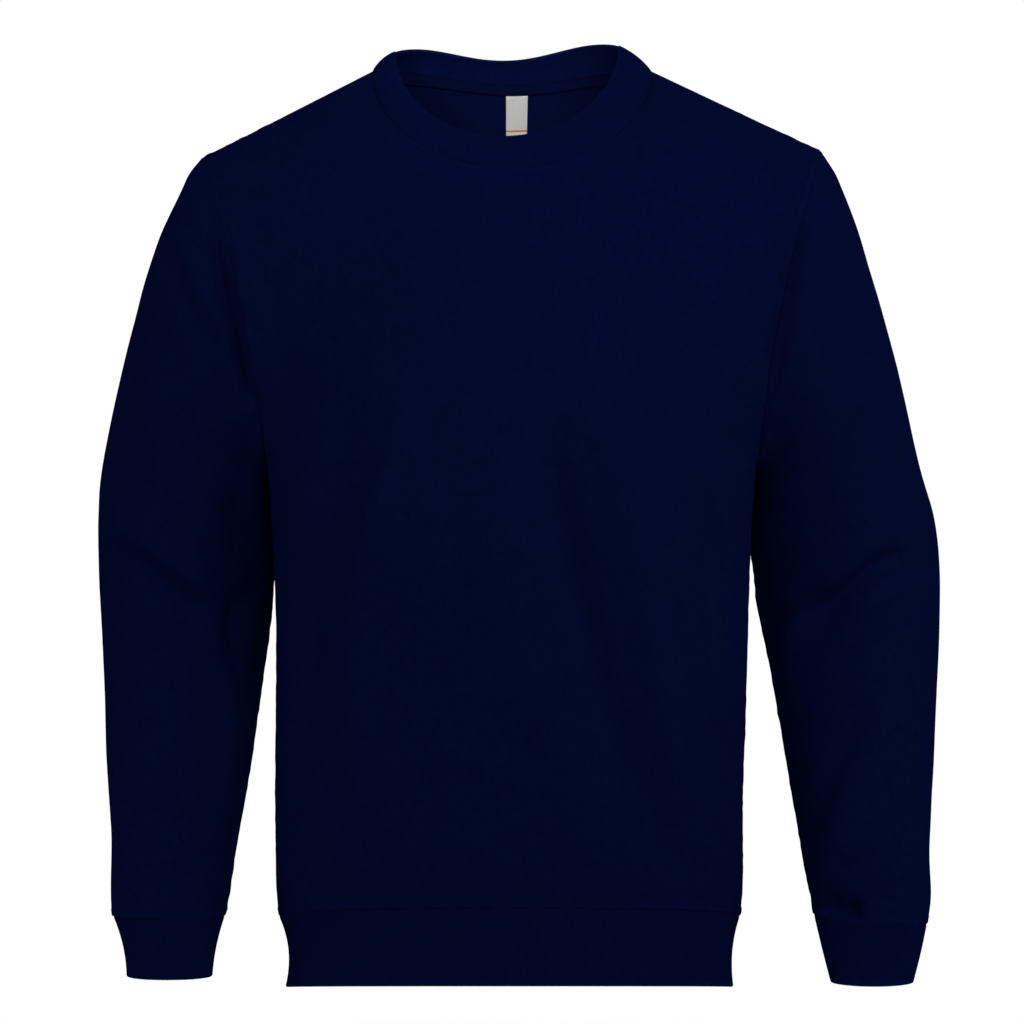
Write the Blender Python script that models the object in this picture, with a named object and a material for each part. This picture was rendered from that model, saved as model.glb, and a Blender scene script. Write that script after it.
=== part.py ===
"""Crewneck sweatshirt, adult size L, filled out as if worn but empty.

Metres, +Z up. The front faces -Y and the wearer's right arm is at -X. The origin is between
the shoulders, where a wearer holds the garment up. Every piece is a thin wall of cloth. Its outer
face is a grid of points worked out from the sections below, in millimetres, and its inner face is
the same grid moved in along the normals. Neighbouring pieces share the points of their seam.
"""

import math
from collections import defaultdict, namedtuple

import bpy
import numpy as np

METRES = 0.001  # one millimetre

# Cloth
FLEECE = 2.0
RIB_CLOTH = 3.0
RIB_RELIEF = 0.8
TAPE = 1.0
LABEL = 1.0
SEAM_GAP = 0.3
LAID_GAP = 0.3
TAPE_INSET = 0.05  # share of the tape's width that stays clear of the neck seam
MITRE_LEAST = 0.7
SEAM_SMOOTHING = 2  # passes that even out the seams' shared normals

# Grid of each body panel: columns along one shoulder, across the neck, and rows above the armpit
SHOULDER_COLUMNS = 6
NECK_COLUMNS = 12
YOKE_ROWS = 12
TOP_ROW = 0.96  # where the last row but one lies, so that the neck tape is one row high
COLUMNS = 2 * SHOULDER_COLUMNS + NECK_COLUMNS

# Shoulders, armholes and neck
SHOULDER_TIPS = {-1: (-240.5, 0.0, -48.5), 1: (240.5, 0.0, -43.5)}  # by side: -1 is the wearer's right
NECK_POINT = (109.0, 4.0, 19.0)  # of the wearer's left
ARMPIT = (190.0, -12.0, -290.0)
ARMHOLE_DEPTH = {-1: 62.0, 1: 68.0}  # by side: -1 is the front, 1 the back
ARMHOLE_SCOOP = {-1: 7.5, 1: 5.0}
ROUNDNESS = 2.3  # power of the body's sections, where 2 is an ellipse
EASE_UP = 1.25  # how the columns lean in on the way up to the shoulder
YOKE_SOFTENING = 6  # passes that ease the corner at the neck point in the rows below it
YOKE_SHARPENING = 5  # power with which that corner comes back towards the seam
CURL = (90.0, 66.0, 58.0)  # degrees curved over at the shoulder tip, neck point and mid neck

NeckLoop = namedtuple("NeckLoop", "name half_width side_y side_z front_y front_z back_y back_z hump")
NECK_SEAM = NeckLoop("seam", 109.0, 4.0, 19.0, -95.0, -63.0, 78.0, 15.0, 6.0)
NECK_MIDDLE = NeckLoop("middle", 99.5, 3.5, 29.5, -87.5, -49.0, 72.0, 24.5, 6.5)
NECK_TOP = NeckLoop("top", 86.0, 3.0, 38.0, -74.0, -36.5, 62.0, 33.6, 7.0)

TorsoSection = namedtuple(
    "TorsoSection", "name z middle_x half_width front back middle_y front_rise steps"
)
TORSO = (
    TorsoSection("hem_seam", -641, -2.0, 179.5, 101, 94, 0, 14, 2),
    TorsoSection("over_hem", -612, -2.0, 182.0, 108, 100, -1, 12, 2),
    TorsoSection("hip", -560, -2.0, 182.0, 112, 104, -2, 8, 3),
    TorsoSection("waist", -480, -1.0, 183.3, 116, 108, -4, 4, 3),
    TorsoSection("midriff", -400, 0.0, 184.0, 121, 117, -7, 1, 2),
    TorsoSection("under_chest", -340, 0.0, 186.0, 126, 128, -10, 0, 2),
    TorsoSection("chest", ARMPIT[2], 0.0, ARMPIT[0], 123, 135, ARMPIT[1], 0, 0),
)
HEM_BAND = (
    TorsoSection("hem", -694, -2.0, 174.0, 97, 90, 0, 9, 1),
    TorsoSection("pinch", -664, -1.0, 170.4, 96, 89, 0, 12, 1),
)

# A sleeve's ring runs from its outer point over the front to its inner point, and back behind
SleeveSection = namedtuple(
    "SleeveSection", "name outer_x outer_y outer_z inner_x inner_y inner_z half_depth steps"
)
SLEEVE_RIGHT = (
    SleeveSection("cap", -254.0, 1, -66, -191.0, -9, -293, 66, 2),
    SleeveSection("cap_middle", -278.0, 6, -119, -190.2, 5, -300, 69, 2),
    SleeveSection("underarm", -298.5, 15, -190, -188.0, 22, -314, 70, 2),
    SleeveSection("biceps", -320.5, 33, -283, -185.5, 34, -348, 68, 2),
    SleeveSection("over_elbow", -325.5, 40, -330, -187.0, 40, -374, 67, 3),
    SleeveSection("elbow", -325.0, 43, -380, -189.5, 43, -405, 64, 3),
    SleeveSection("under_elbow", -322.0, 36, -440, -196.0, 36, -458, 60, 3),
    SleeveSection("forearm", -317.5, 21, -512, -204.5, 21, -523, 56, 3),
    SleeveSection("low_forearm", -313.0, 4, -578, -214.0, 4, -584, 50, 2),
    SleeveSection("over_cuff", -312.5, -10, -618, -219.0, -10, -621, 45, 1),
    SleeveSection("cuff_seam", -309.5, -18, -639, -223.0, -18, -639, 41, 0),
)
CUFF_RIGHT = (
    SleeveSection("pinch", -300.0, -22, -664, -230.5, -22, -664, 33, 1),
    SleeveSection("mouth", -298.5, -28, -685, -232.0, -28, -685, 31, 0),
)
SLEEVE_LEFT = (
    SleeveSection("cap", 254.0, 1, -66, 191.0, -9, -293, 66, 2),
    SleeveSection("cap_middle", 273.5, 6, -117, 190.2, 5, -300, 69, 2),
    SleeveSection("underarm", 295.0, 15, -188, 188.0, 22, -314, 70, 2),
    SleeveSection("biceps", 320.0, 33, -286, 186.5, 34, -348, 69, 2),
    SleeveSection("over_elbow", 333.0, 40, -332, 190.0, 40, -374, 70, 3),
    SleeveSection("elbow", 337.0, 43, -378, 193.5, 43, -402, 68, 3),
    SleeveSection("under_elbow", 335.5, 36, -452, 205.0, 36, -460, 64, 3),
    SleeveSection("forearm", 330.5, 21, -520, 215.0, 21, -527, 58, 3),
    SleeveSection("low_forearm", 326.0, 4, -582, 225.0, 4, -587, 51, 2),
    SleeveSection("over_cuff", 326.0, -10, -622, 232.0, -10, -623, 45, 1),
    SleeveSection("cuff_seam", 322.0, -18, -645, 234.5, -18, -638, 42, 0),
)
CUFF_LEFT = (
    SleeveSection("pinch", 315.5, -22, -669, 242.0, -22, -667, 33, 1),
    SleeveSection("mouth", 310.6, -28, -690, 247.0, -28, -690, 31, 0),
)

# The largest folds, as seen from in front: the line that each follows, its half width and how
# far it stands out. A negative height is a trough. Side -1 is the front of a piece, 1 its back.
Fold = namedtuple("Fold", "name piece side x0 z0 x1 z1 half_width height")
FOLDS = (
    Fold("right_drape_high", "front", -1, -105, -225, -139, -398, 20, -6),
    Fold("right_drape_low", "front", -1, -139, -398, -163, -610, 20, -6),
    Fold("left_ridge_high", "front", -1, 101, -214, 130, -416, 22, 6),
    Fold("left_ridge_low", "front", -1, 130, -416, 156, -600, 22, 6),
    Fold("left_drape_high", "front", -1, 49, -257, 94, -434, 20, -6),
    Fold("left_drape_low", "front", -1, 94, -434, 122, -605, 20, -6),
    Fold("left_side_dip", "front", -1, 141, -306, 170, -470, 16, -5),
    Fold("belly_ridge", "front", -1, 23, -452, 94, -612, 22, 4),
    Fold("right_underarm_pull", "front", -1, -176, -250, -130, -330, 16, -5),
    Fold("left_underarm_pull", "front", -1, 178, -255, 140, -330, 16, -4),
    Fold("back_left_drape", "back", 1, 112, -190, 150, -600, 22, -6),
    Fold("back_left_ridge", "back", 1, 62, -240, 84, -600, 24, 5),
    Fold("back_right_drape", "back", 1, -96, -230, -132, -610, 22, -6),
    Fold("back_right_ridge", "back", 1, -50, -330, -74, -600, 24, 4),
    Fold("back_waist_sag", "back", 1, -90, -500, 80, -478, 26, -5),
    Fold("right_cap_wedge", "sleeve_right", -1, -226, -92, -203, -240, 15, -7),
    Fold("right_cap_ridge", "sleeve_right", -1, -254, -120, -226, -215, 16, 4),
    Fold("right_elbow_dark", "sleeve_right", -1, -296, -330, -240, -372, 16, -6),
    Fold("right_elbow_ridge", "sleeve_right", -1, -302, -350, -228, -398, 16, 7),
    Fold("right_elbow_crease", "sleeve_right", -1, -318, -345, -236, -412, 14, -8),
    Fold("right_inner_dip", "sleeve_right", -1, -214, -330, -206, -470, 16, -7),
    Fold("right_forearm_sag", "sleeve_right", -1, -290, -556, -250, -566, 16, -4),
    Fold("right_back_elbow", "sleeve_right", 1, -300, -400, -230, -372, 18, 6),
    Fold("right_back_crease", "sleeve_right", 1, -300, -430, -230, -400, 16, -6),
    Fold("left_cap_wedge", "sleeve_left", -1, 228, -96, 206, -236, 15, -6),
    Fold("left_elbow_crease", "sleeve_left", -1, 312, -352, 240, -394, 15, -9),
    Fold("left_elbow_ridge", "sleeve_left", -1, 318, -378, 248, -420, 16, 7),
    Fold("left_elbow_hollow", "sleeve_left", -1, 216, -402, 212, -458, 15, -8),
    Fold("left_inner_dip", "sleeve_left", -1, 204, -250, 204, -360, 14, -6),
    Fold("left_side_fold", "sleeve_left", -1, 316, -380, 304, -418, 14, 5),
    Fold("left_low_fold", "sleeve_left", -1, 309, -476, 285, -505, 16, -5),
    Fold("left_cuff_bag", "sleeve_left", -1, 250, -628, 290, -640, 14, -4),
    Fold("left_back_elbow", "sleeve_left", 1, 312, -404, 240, -378, 18, 6),
    Fold("left_back_crease", "sleeve_left", 1, 312, -436, 244, -408, 16, -6),
)

# Ribs stand up across each column of a band
HEM_RIBS = 5
NECK_RIBS = 5
CUFF_RIBS = 2

# Neck label, hung from the tape a little left of the middle
LABEL_LEFT, LABEL_RIGHT = -4.8, 12.6
LABEL_LENGTH = 42.0
LABEL_GAP = 0.6

Finish = namedtuple("Finish", "name colour roughness")
NAVY_FLEECE = Finish("navy_fleece", (0.0012, 0.0031, 0.026), 0.92)
NAVY_RIB = Finish("navy_rib", (0.0012, 0.003, 0.024), 0.9)
NAVY_TAPE = Finish("navy_tape", (0.001, 0.0026, 0.021), 0.85)
WOVEN_LABEL = Finish("woven_label", (0.58, 0.6, 0.58), 0.7)


def power(value, exponent):
    """A power that keeps the sign, for rounded rectangles."""
    return np.sign(value) * np.abs(value) ** exponent


def through(table):
    """Sections eased through a table, `steps` of them from each row to the next."""
    values = np.array([row[1:-1] for row in table], float)
    dense = [values[0]]
    for i in range(len(table) - 1):
        before, after = values[max(i - 1, 0)], values[min(i + 2, len(table) - 1)]
        a, b = values[i], values[i + 1]
        for step in range(1, table[i].steps + 1):
            t = step / table[i].steps
            slope_a, slope_b = (b - before) / 2, (after - a) / 2
            dense.append(
                (2 * t**3 - 3 * t**2 + 1) * a
                + (t**3 - 2 * t**2 + t) * slope_a
                + (3 * t**2 - 2 * t**3) * b
                + (t**3 - t**2) * slope_b
            )
    return np.array(dense)


def torso_row(section, side, angles):
    """Half of one section of the body, from the wearer's right seam to the left one."""
    z, middle_x, half_width, front, back, middle_y, rise = section
    depth = front if side < 0 else back
    across = power(np.cos(angles), 2 / ROUNDNESS)
    out = power(np.sin(angles), 2 / ROUNDNESS)
    lift = rise * out if side < 0 else 0 * out
    return np.stack(
        [middle_x + half_width * across, middle_y + side * depth * out, z + lift], axis=-1
    )


def neck_point(loop, angle):
    """A point on a loop round the neck. Angle 0 is the middle of the front, 180 of the back."""
    to_middle, across = abs(math.cos(angle)), math.sin(angle)
    if math.cos(angle) > 0:
        y, z, hump = loop.front_y, loop.front_z, 0.0
    else:
        y, z, hump = loop.back_y, loop.back_z, loop.hump * math.sin(2 * angle) ** 2
    return np.array(
        [
            loop.half_width * across,
            loop.side_y + (y - loop.side_y) * to_middle,
            loop.side_z + (z - loop.side_z) * to_middle + hump,
        ]
    )


def neck_half(loop, side):
    """Half of a neck loop, from the wearer's right to the left, over the front or the back."""
    turn = np.linspace(-math.pi / 2, math.pi / 2, NECK_COLUMNS + 1)
    return np.array([neck_point(loop, a if side < 0 else math.pi - a) for a in turn])


def shoulder_seam(hand):
    """The shoulder seam of one side, from its tip to the neck."""
    share = np.linspace(0, 1, SHOULDER_COLUMNS + 1)[:, None]
    tip, inner = np.array(SHOULDER_TIPS[hand]), NECK_POINT * np.array([hand, 1, 1])
    return tip + (inner - tip) * share


def top_edge(side):
    """A panel's upper edge: shoulder seam, neck, shoulder seam."""
    neck = neck_half(NECK_SEAM, side)[1:-1]
    return np.concatenate([shoulder_seam(-1), neck, shoulder_seam(1)[::-1]])


def softened(edge):
    """An edge with its corners eased and its two ends held."""
    for _ in range(YOKE_SOFTENING):
        inside = (edge[:-2] + 2 * edge[1:-1] + edge[2:]) / 4
        edge = np.concatenate([edge[:1], inside, edge[-1:]])
    return edge


def armhole_edge(side, hand, shares):
    """One branch of an armhole, from the armpit at share 0 to the shoulder tip at 1."""
    angle = math.pi * (1 - shares)
    tip, pit = np.array(SHOULDER_TIPS[hand]), ARMPIT * np.array([hand, 1, 1])
    middle, reach = (tip + pit) / 2, (tip - pit) / 2
    edge = middle + np.cos(angle)[:, None] * reach
    edge[:, 1] += side * ARMHOLE_DEPTH[side] * np.sin(angle)
    edge[:, 0] -= hand * ARMHOLE_SCOOP[side] * np.sin(angle) ** 2
    return edge


def panel_grid(side):
    """Outer face of the front (side -1) or back (side 1), rows from the hem up."""
    angles = np.linspace(math.pi, 0, COLUMNS + 1)
    rows = [torso_row(section, side, angles) for section in through(TORSO)]
    chest = TORSO[-1]
    depth = chest.front if side < 0 else chest.back
    top = top_edge(side)
    soft = softened(top)
    across = np.abs(np.linspace(-1, 1, COLUMNS + 1))
    pull = np.cos(math.pi / 2 * (1 - across)) ** 2
    inwards = (1 - across) * COLUMNS / 2
    curl = np.interp(inwards, (0, SHOULDER_COLUMNS, COLUMNS / 2), CURL)
    curl = np.radians(curl)
    shares = np.append(np.arange(1, YOKE_ROWS) / (YOKE_ROWS - 1) * TOP_ROW, 1.0)
    right, left = armhole_edge(side, -1, shares), armhole_edge(side, 1, shares)
    slide = np.abs(left[:, 1] - chest.middle_y) / depth
    slide = np.arcsin(np.clip(np.maximum.accumulate(slide), 0, 1) ** (ROUNDNESS / 2))
    half = COLUMNS // 2
    for share, right_end, left_end, start in zip(shares, right, left, slide):
        base = torso_row(chest[1:-1], side, np.linspace(math.pi - start, start, COLUMNS + 1))
        theta = curl * share
        up = np.sin(theta) ** (2 / ROUNDNESS) / np.sin(curl) ** (2 / ROUNDNESS)
        over = 1 - np.cos(theta) ** (2 / ROUNDNESS)
        over = over / (1 - np.cos(curl) ** (2 / ROUNDNESS))
        goal = soft + (top - soft) * share**YOKE_SHARPENING
        row = base + (goal - base) * np.stack([up**EASE_UP, over, up], axis=-1)
        if share < 1:
            row[half:] += (left_end - row[-1]) * pull[half:, None]
            row[:half] += (right_end - row[0]) * pull[:half, None]
        rows.append(row)
    return np.array(rows)


def sleeve_grid(table, armhole, shares):
    """Outer face of a sleeve: its first ring is the armhole, then one ring for each section."""
    angles = math.pi * (1 - shares)
    rings = [armhole]
    for section in through(table):
        outer, inner, half_depth = section[:3], section[3:6], section[6]
        ring = (outer + inner) / 2 + np.cos(angles)[:, None] * (outer - inner) / 2
        ring[:, 1] -= half_depth * np.sin(angles)
        rings.append(ring)
    return np.array(rings)


class Surface:
    """A grid of points: the outer face of one piece of cloth."""

    def __init__(self, name, grid, thickness, closed=False, turn=1):
        self.name, self.grid, self.thickness = name, grid, thickness
        self.closed, self.turn = closed, turn

    def cells(self):
        rows, columns = self.grid.shape[:2]
        for i in range(rows - 1):
            for j in range(columns if self.closed else columns - 1):
                yield i, j, (j + 1) % columns

    def normals(self):
        """Summed triangle normals at each point, not yet of unit length."""
        total = np.zeros_like(self.grid)
        for i, j, k in self.cells():
            a, b, c, d = (self.grid[p] for p in ((i, j), (i, k), (i + 1, k), (i + 1, j)))
            first, second = np.cross(b - a, c - a), np.cross(c - a, d - a)
            total[i, j] += first + second
            total[i + 1, k] += first + second
            total[i, k] += first
            total[i + 1, j] += second
        return total * self.turn

    def raise_folds(self, key):
        """Adds the folds of this piece, leaving its edges where its neighbours meet them."""
        lift = np.zeros(self.grid.shape[:2])
        normal = unit(self.normals())
        for fold in (f for f in FOLDS if f.piece == key):
            start = np.array([fold.x0, fold.z0], float)
            run = np.array([fold.x1, fold.z1], float) - start
            away = self.grid[..., (0, 2)] - start
            along = away @ run / (run @ run)
            nearest = np.clip(along, 0, 1)
            miss = np.linalg.norm(away - nearest[..., None] * run, axis=-1)
            facing = np.clip(normal[..., 1] * fold.side * 3, 0, 1)
            fade = 1 - 0.35 * np.abs(2 * nearest - 1)
            lift += fold.height * np.exp(-((miss / fold.half_width) ** 2)) * facing * fade
        lift[0] = lift[-1] = 0
        if not self.closed:
            lift[:, 0] = lift[:, -1] = 0
        self.grid = self.grid + normal * lift[..., None]

    def edges(self):
        """Its edge loops, each with 1 if the piece lies to the left of it, seen from outside."""
        rows, columns = self.grid.shape[:2]
        if self.closed:
            for row, hand in ((0, self.turn), (rows - 1, -self.turn)):
                yield [(row, j) for j in range(columns)], hand
            return
        high, last = rows - 1, columns - 1
        loop = [(0, j) for j in range(last)] + [(i, last) for i in range(high)]
        loop += [(high, j) for j in range(last, 0, -1)] + [(i, 0) for i in range(high, 0, -1)]
        yield loop, self.turn


def unit(vectors):
    return vectors / np.linalg.norm(vectors, axis=-1, keepdims=True)


Wall = namedtuple("Wall", "outer inner normal seams")  # seams: the points before the seam gaps


def place(point):
    """A key that coincident points of two pieces share."""
    return tuple(np.round(point, 2))


def smoothed(seam_normal, surfaces):
    """Each seam normal averaged with its neighbours along the seams."""
    total = {key: 2 * normal for key, normal in seam_normal.items()}
    for s in surfaces:
        for loop, _ in s.edges():
            keys = [place(s.grid[index]) for index in loop]
            for one, two in zip(keys, keys[1:] + keys[:1]):
                if one in total and two in total:
                    total[one] = total[one] + seam_normal[two]
                    total[two] = total[two] + seam_normal[one]
    return {key: unit(normal) for key, normal in total.items()}


def walls(surfaces):
    """Outer and inner grids of each piece, mitred and drawn 0.15 mm back at every shared seam."""
    own = {s.name: s.normals() for s in surfaces}
    meeting = defaultdict(dict)
    for s in surfaces:
        for loop, _ in s.edges():
            for index in loop:
                meeting[place(s.grid[index])][s.name] = own[s.name][index]
    seam_normal = {
        key: unit(sum(unit(n) for n in pieces.values()))
        for key, pieces in meeting.items()
        if len(pieces) > 1
    }
    for _ in range(SEAM_SMOOTHING):
        seam_normal = smoothed(seam_normal, surfaces)
    result = {}
    for s in surfaces:
        own_normal = unit(own[s.name])
        shared = own_normal.copy()
        seam = set()
        for loop, _ in s.edges():
            for index in loop:
                if place(s.grid[index]) in seam_normal:
                    shared[index] = seam_normal[place(s.grid[index])]
                    seam.add(index)
        back = np.zeros_like(s.grid)
        for loop, hand in s.edges():
            for at, index in enumerate(loop):
                before, after = loop[at - 1], loop[(at + 1) % len(loop)]
                if index not in seam:
                    continue
                runs = [(before, index)] * (before in seam) + [(index, after)] * (after in seam)
                into = [hand * unit(np.cross(shared[index], s.grid[b] - s.grid[a])) for a, b in runs]
                total = into[0] + into[-1]
                back[index] = SEAM_GAP / 2 * total / max(1 + into[0] @ into[-1], MITRE_LEAST)
        upright = (shared * own_normal).sum(-1, keepdims=True)
        inwards = own_normal + (shared - upright * own_normal) / np.maximum(upright, MITRE_LEAST)
        outer = s.grid + back
        result[s.name] = Wall(outer, outer - inwards * s.thickness, shared, s.grid)
    return result


def make_material(finish):
    material = bpy.data.materials.get(finish.name) or bpy.data.materials.new(finish.name)
    material.use_nodes = True
    shader = material.node_tree.nodes["Principled BSDF"]
    shader.inputs["Base Color"].default_value = (*finish.colour, 1.0)
    shader.inputs["Roughness"].default_value = finish.roughness
    shader.inputs["Metallic"].default_value = 0.0
    return material


def make_object(name, points, faces, finish):
    mesh = bpy.data.meshes.new(name)
    mesh.from_pydata((np.array(points) * METRES).tolist(), [], faces)
    mesh.update()
    obj = bpy.data.objects.new(name, mesh)
    bpy.data.collections["sweatshirt"].objects.link(obj)
    mesh.materials.append(make_material(finish))
    mesh.shade_smooth()
    return obj


def rim(one, two, one_in, two_in, one_place, two_place):
    """Two faces across a wall's edge, cut the same way on both sides of a seam."""
    if place(one_place) < place(two_place):
        return [(one, two, two_in), (one, two_in, one_in)]
    return [(one, two, one_in), (one_in, two, two_in)]


def wall_object(name, wall, finish, closed=False, turn=1):
    """A closed wall between two grids of the same shape, as an open patch or a tube."""
    outer, inner, _, seams = wall
    rows, columns = outer.shape[:2]
    count = rows * columns
    points = np.concatenate([outer.reshape(-1, 3), inner.reshape(-1, 3)])

    def at(i, j, inside=False):
        return i * columns + j % columns + (count if inside else 0)

    faces = []
    for i in range(rows - 1):
        for j in range(columns if closed else columns - 1):
            a, b, c, d = at(i, j), at(i, j + 1), at(i + 1, j + 1), at(i + 1, j)
            faces += [(a, b, c), (a, c, d)]
            faces += [(p + count, q + count, r + count) for r, q, p in ((a, b, c), (a, c, d))]
    edges = []
    for j in range(columns if closed else columns - 1):
        edges += [(at(0, j), at(0, j + 1)), (at(rows - 1, j + 1), at(rows - 1, j))]
    if not closed:
        for i in range(rows - 1):
            edges += [(at(i + 1, 0), at(i, 0)), (at(i, columns - 1), at(i + 1, columns - 1))]
    flat = seams.reshape(-1, 3)
    for a, b in edges:
        faces += rim(b, a, b + count, a + count, flat[b], flat[a])
    if turn < 0:
        faces = [face[::-1] for face in faces]
    return make_object(name, points, faces, finish)


def ribbed_tube(name, wall, ribs, finish, turn=1):
    """A band with `ribs` upright ribs over each column of its outer face, plain inside."""
    outer, inner, normal, seams = wall
    rows, columns = outer.shape[:2]
    parts = 2 * ribs
    fine = columns * parts
    share = np.tile(np.arange(parts) / parts, columns)[None, :, None]
    near = np.repeat(np.arange(columns), parts)
    far = (near + 1) % columns
    crest = outer[:, near] * (1 - share) + outer[:, far] * share
    across = unit(normal[:, near] * (1 - share) + normal[:, far] * share)
    valley = (np.arange(fine) % 2)[None, :, None]
    points = np.concatenate(
        [(crest - across * RIB_RELIEF * valley).reshape(-1, 3), inner.reshape(-1, 3)]
    )
    start = rows * fine
    faces = []
    for i in range(rows - 1):
        for j in range(fine):
            k = (j + 1) % fine
            a, b, c, d = i * fine + j, i * fine + k, (i + 1) * fine + k, (i + 1) * fine + j
            faces += [(a, b, c), (a, c, d)]
        for j in range(columns):
            k = (j + 1) % columns
            a, b = start + i * columns + j, start + i * columns + k
            faces += [(a, b + columns, b), (a, a + columns, b + columns)]
    for row, flip in ((0, False), (rows - 1, True)):
        for j in range(columns):
            a, b = start + row * columns + j, start + row * columns + (j + 1) % columns
            run = [row * fine + (j * parts + k) % fine for k in range(parts + 1)]
            rising = place(seams[row, j]) < place(seams[row, (j + 1) % columns])
            fans = [(b if rising else a, run[k + 1], run[k]) for k in range(parts)]
            fans.append((a, b, run[0] if rising else run[-1]))
            faces += [fan[::-1] for fan in fans] if flip else fans
    if turn < 0:
        faces = [face[::-1] for face in faces]
    return make_object(name, points, faces, finish)


def on_grid(grid, row, column):
    """A point between the points of a grid."""
    i, j = int(min(row, grid.shape[0] - 2)), int(min(column, grid.shape[1] - 2))
    s, t = row - i, column - j
    low = grid[i, j] * (1 - t) + grid[i, j + 1] * t
    high = grid[i + 1, j] * (1 - t) + grid[i + 1, j + 1] * t
    return low * (1 - s) + high * s


def make_neck_tape(back_wall):
    """A tape over the back neck seam, from shoulder to shoulder, on the inside of the back."""
    inner, normal = back_wall.inner, back_wall.normal
    neck = slice(SHOULDER_COLUMNS, SHOULDER_COLUMNS + NECK_COLUMNS + 1)
    face, out = inner[-2:, neck].copy(), normal[-2:, neck]
    face[1] += (face[0] - face[1]) * TAPE_INSET
    near = face - out * LAID_GAP
    return wall_object("neck_tape", Wall(near, near - out * TAPE, out, near), NAVY_TAPE)


def make_neck_label(back_wall):
    """A short woven label that hangs from the tape's lower edge against the back."""
    inner, normal = back_wall.inner, back_wall.normal
    rows = inner.shape[0]
    middle = COLUMNS // 2
    spacing = abs(inner[-2, middle + 1, 0] - inner[-2, middle, 0])
    columns = [middle - LABEL_RIGHT / spacing, middle, middle - LABEL_LEFT / spacing]
    row_height = np.linalg.norm(inner[-2, middle] - inner[-3, middle])
    top = rows - 2 - SEAM_GAP / row_height
    levels = [top - LABEL_LENGTH / row_height, rows - 3, top]
    face = np.array([[on_grid(inner, row, column) for column in columns] for row in levels])
    out = unit(np.array([[on_grid(normal, row, column) for column in columns] for row in levels]))
    near = face - out * LABEL_GAP
    return wall_object("neck_label", Wall(near, near - out * LABEL, out, near), WOVEN_LABEL)


def clear_scene():
    for obj in list(bpy.data.objects):
        bpy.data.objects.remove(obj, do_unlink=True)
    collection = bpy.data.collections.new("sweatshirt")
    bpy.context.scene.collection.children.link(collection)


def make_garment():
    front = Surface("front_panel", panel_grid(-1), FLEECE)
    back = Surface("back_panel", panel_grid(1)[:, ::-1], FLEECE)
    front.raise_folds("front")
    back.raise_folds("back")

    pit = len(through(TORSO)) - 1
    shares = np.append(np.arange(YOKE_ROWS) / (YOKE_ROWS - 1) * TOP_ROW, 1.0)
    around = np.concatenate([shares[::-1], -shares[1:-1]])
    right_hole = np.concatenate([front.grid[pit:, 0][::-1], back.grid[pit:, -1][1:-1]])
    left_hole = np.concatenate([front.grid[pit:, -1][::-1], back.grid[pit:, 0][1:-1]])
    pieces = [front, back]
    cuffs = []
    for key, table, cuff_table, hole, turn in (
        ("right", SLEEVE_RIGHT, CUFF_RIGHT, right_hole, -1),
        ("left", SLEEVE_LEFT, CUFF_LEFT, left_hole, 1),
    ):
        sleeve = Surface(f"sleeve_{key}", sleeve_grid(table, hole, around), FLEECE, True, turn)
        sleeve.raise_folds(sleeve.name)
        cuff_rings = sleeve_grid(cuff_table, sleeve.grid[-1], around)
        cuffs.append(Surface(f"cuff_{key}", cuff_rings, RIB_CLOTH, True, turn))
        pieces.append(sleeve)

    angles = np.linspace(math.pi, 0, COLUMNS + 1)
    hem_rings = [
        np.concatenate(
            [torso_row(section, -1, angles), torso_row(section, 1, angles)[::-1][1:-1]]
        )
        for section in through(HEM_BAND)
    ]
    hem_rings.append(np.concatenate([front.grid[0], back.grid[0][1:-1]]))
    hem = Surface("hem_band", np.array(hem_rings), RIB_CLOTH, True)
    neck_rings = [
        np.concatenate([neck_half(loop, -1), neck_half(loop, 1)[::-1][1:-1]])
        for loop in (NECK_SEAM, NECK_MIDDLE, NECK_TOP)
    ]
    neck = Surface("neckband", np.array(neck_rings), RIB_CLOTH, True)

    wall = walls(pieces + cuffs + [hem, neck])
    for piece in pieces:
        wall_object(piece.name, wall[piece.name], NAVY_FLEECE, piece.closed, piece.turn)
    for cuff in cuffs:
        ribbed_tube(cuff.name, wall[cuff.name], CUFF_RIBS, NAVY_RIB, cuff.turn)
    ribbed_tube(hem.name, wall[hem.name], HEM_RIBS, NAVY_RIB)
    ribbed_tube(neck.name, wall[neck.name], NECK_RIBS, NAVY_RIB)
    make_neck_tape(wall[back.name])
    make_neck_label(wall[back.name])


if __name__ == "__main__":
    clear_scene()
    make_garment()
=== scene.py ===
"""Crewneck sweatshirt: the visible cloth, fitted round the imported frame.

Sizes are in millimetres until a mesh is made. The front faces -Y and the wearer's right arm is at
-X. The worn form comes from the same sections as the solids. Creases, seams, ribs, stitches, the
tape and the label are laid on that form.
"""

from __future__ import annotations

import logging
import math
from dataclasses import dataclass, field
from enum import Enum
from typing import NamedTuple

import bmesh
import bpy
import numpy as np
from bpy.types import Material, Mesh, Node, NodeSocket, Object, ShaderNodeTree
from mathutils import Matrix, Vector, noise

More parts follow.
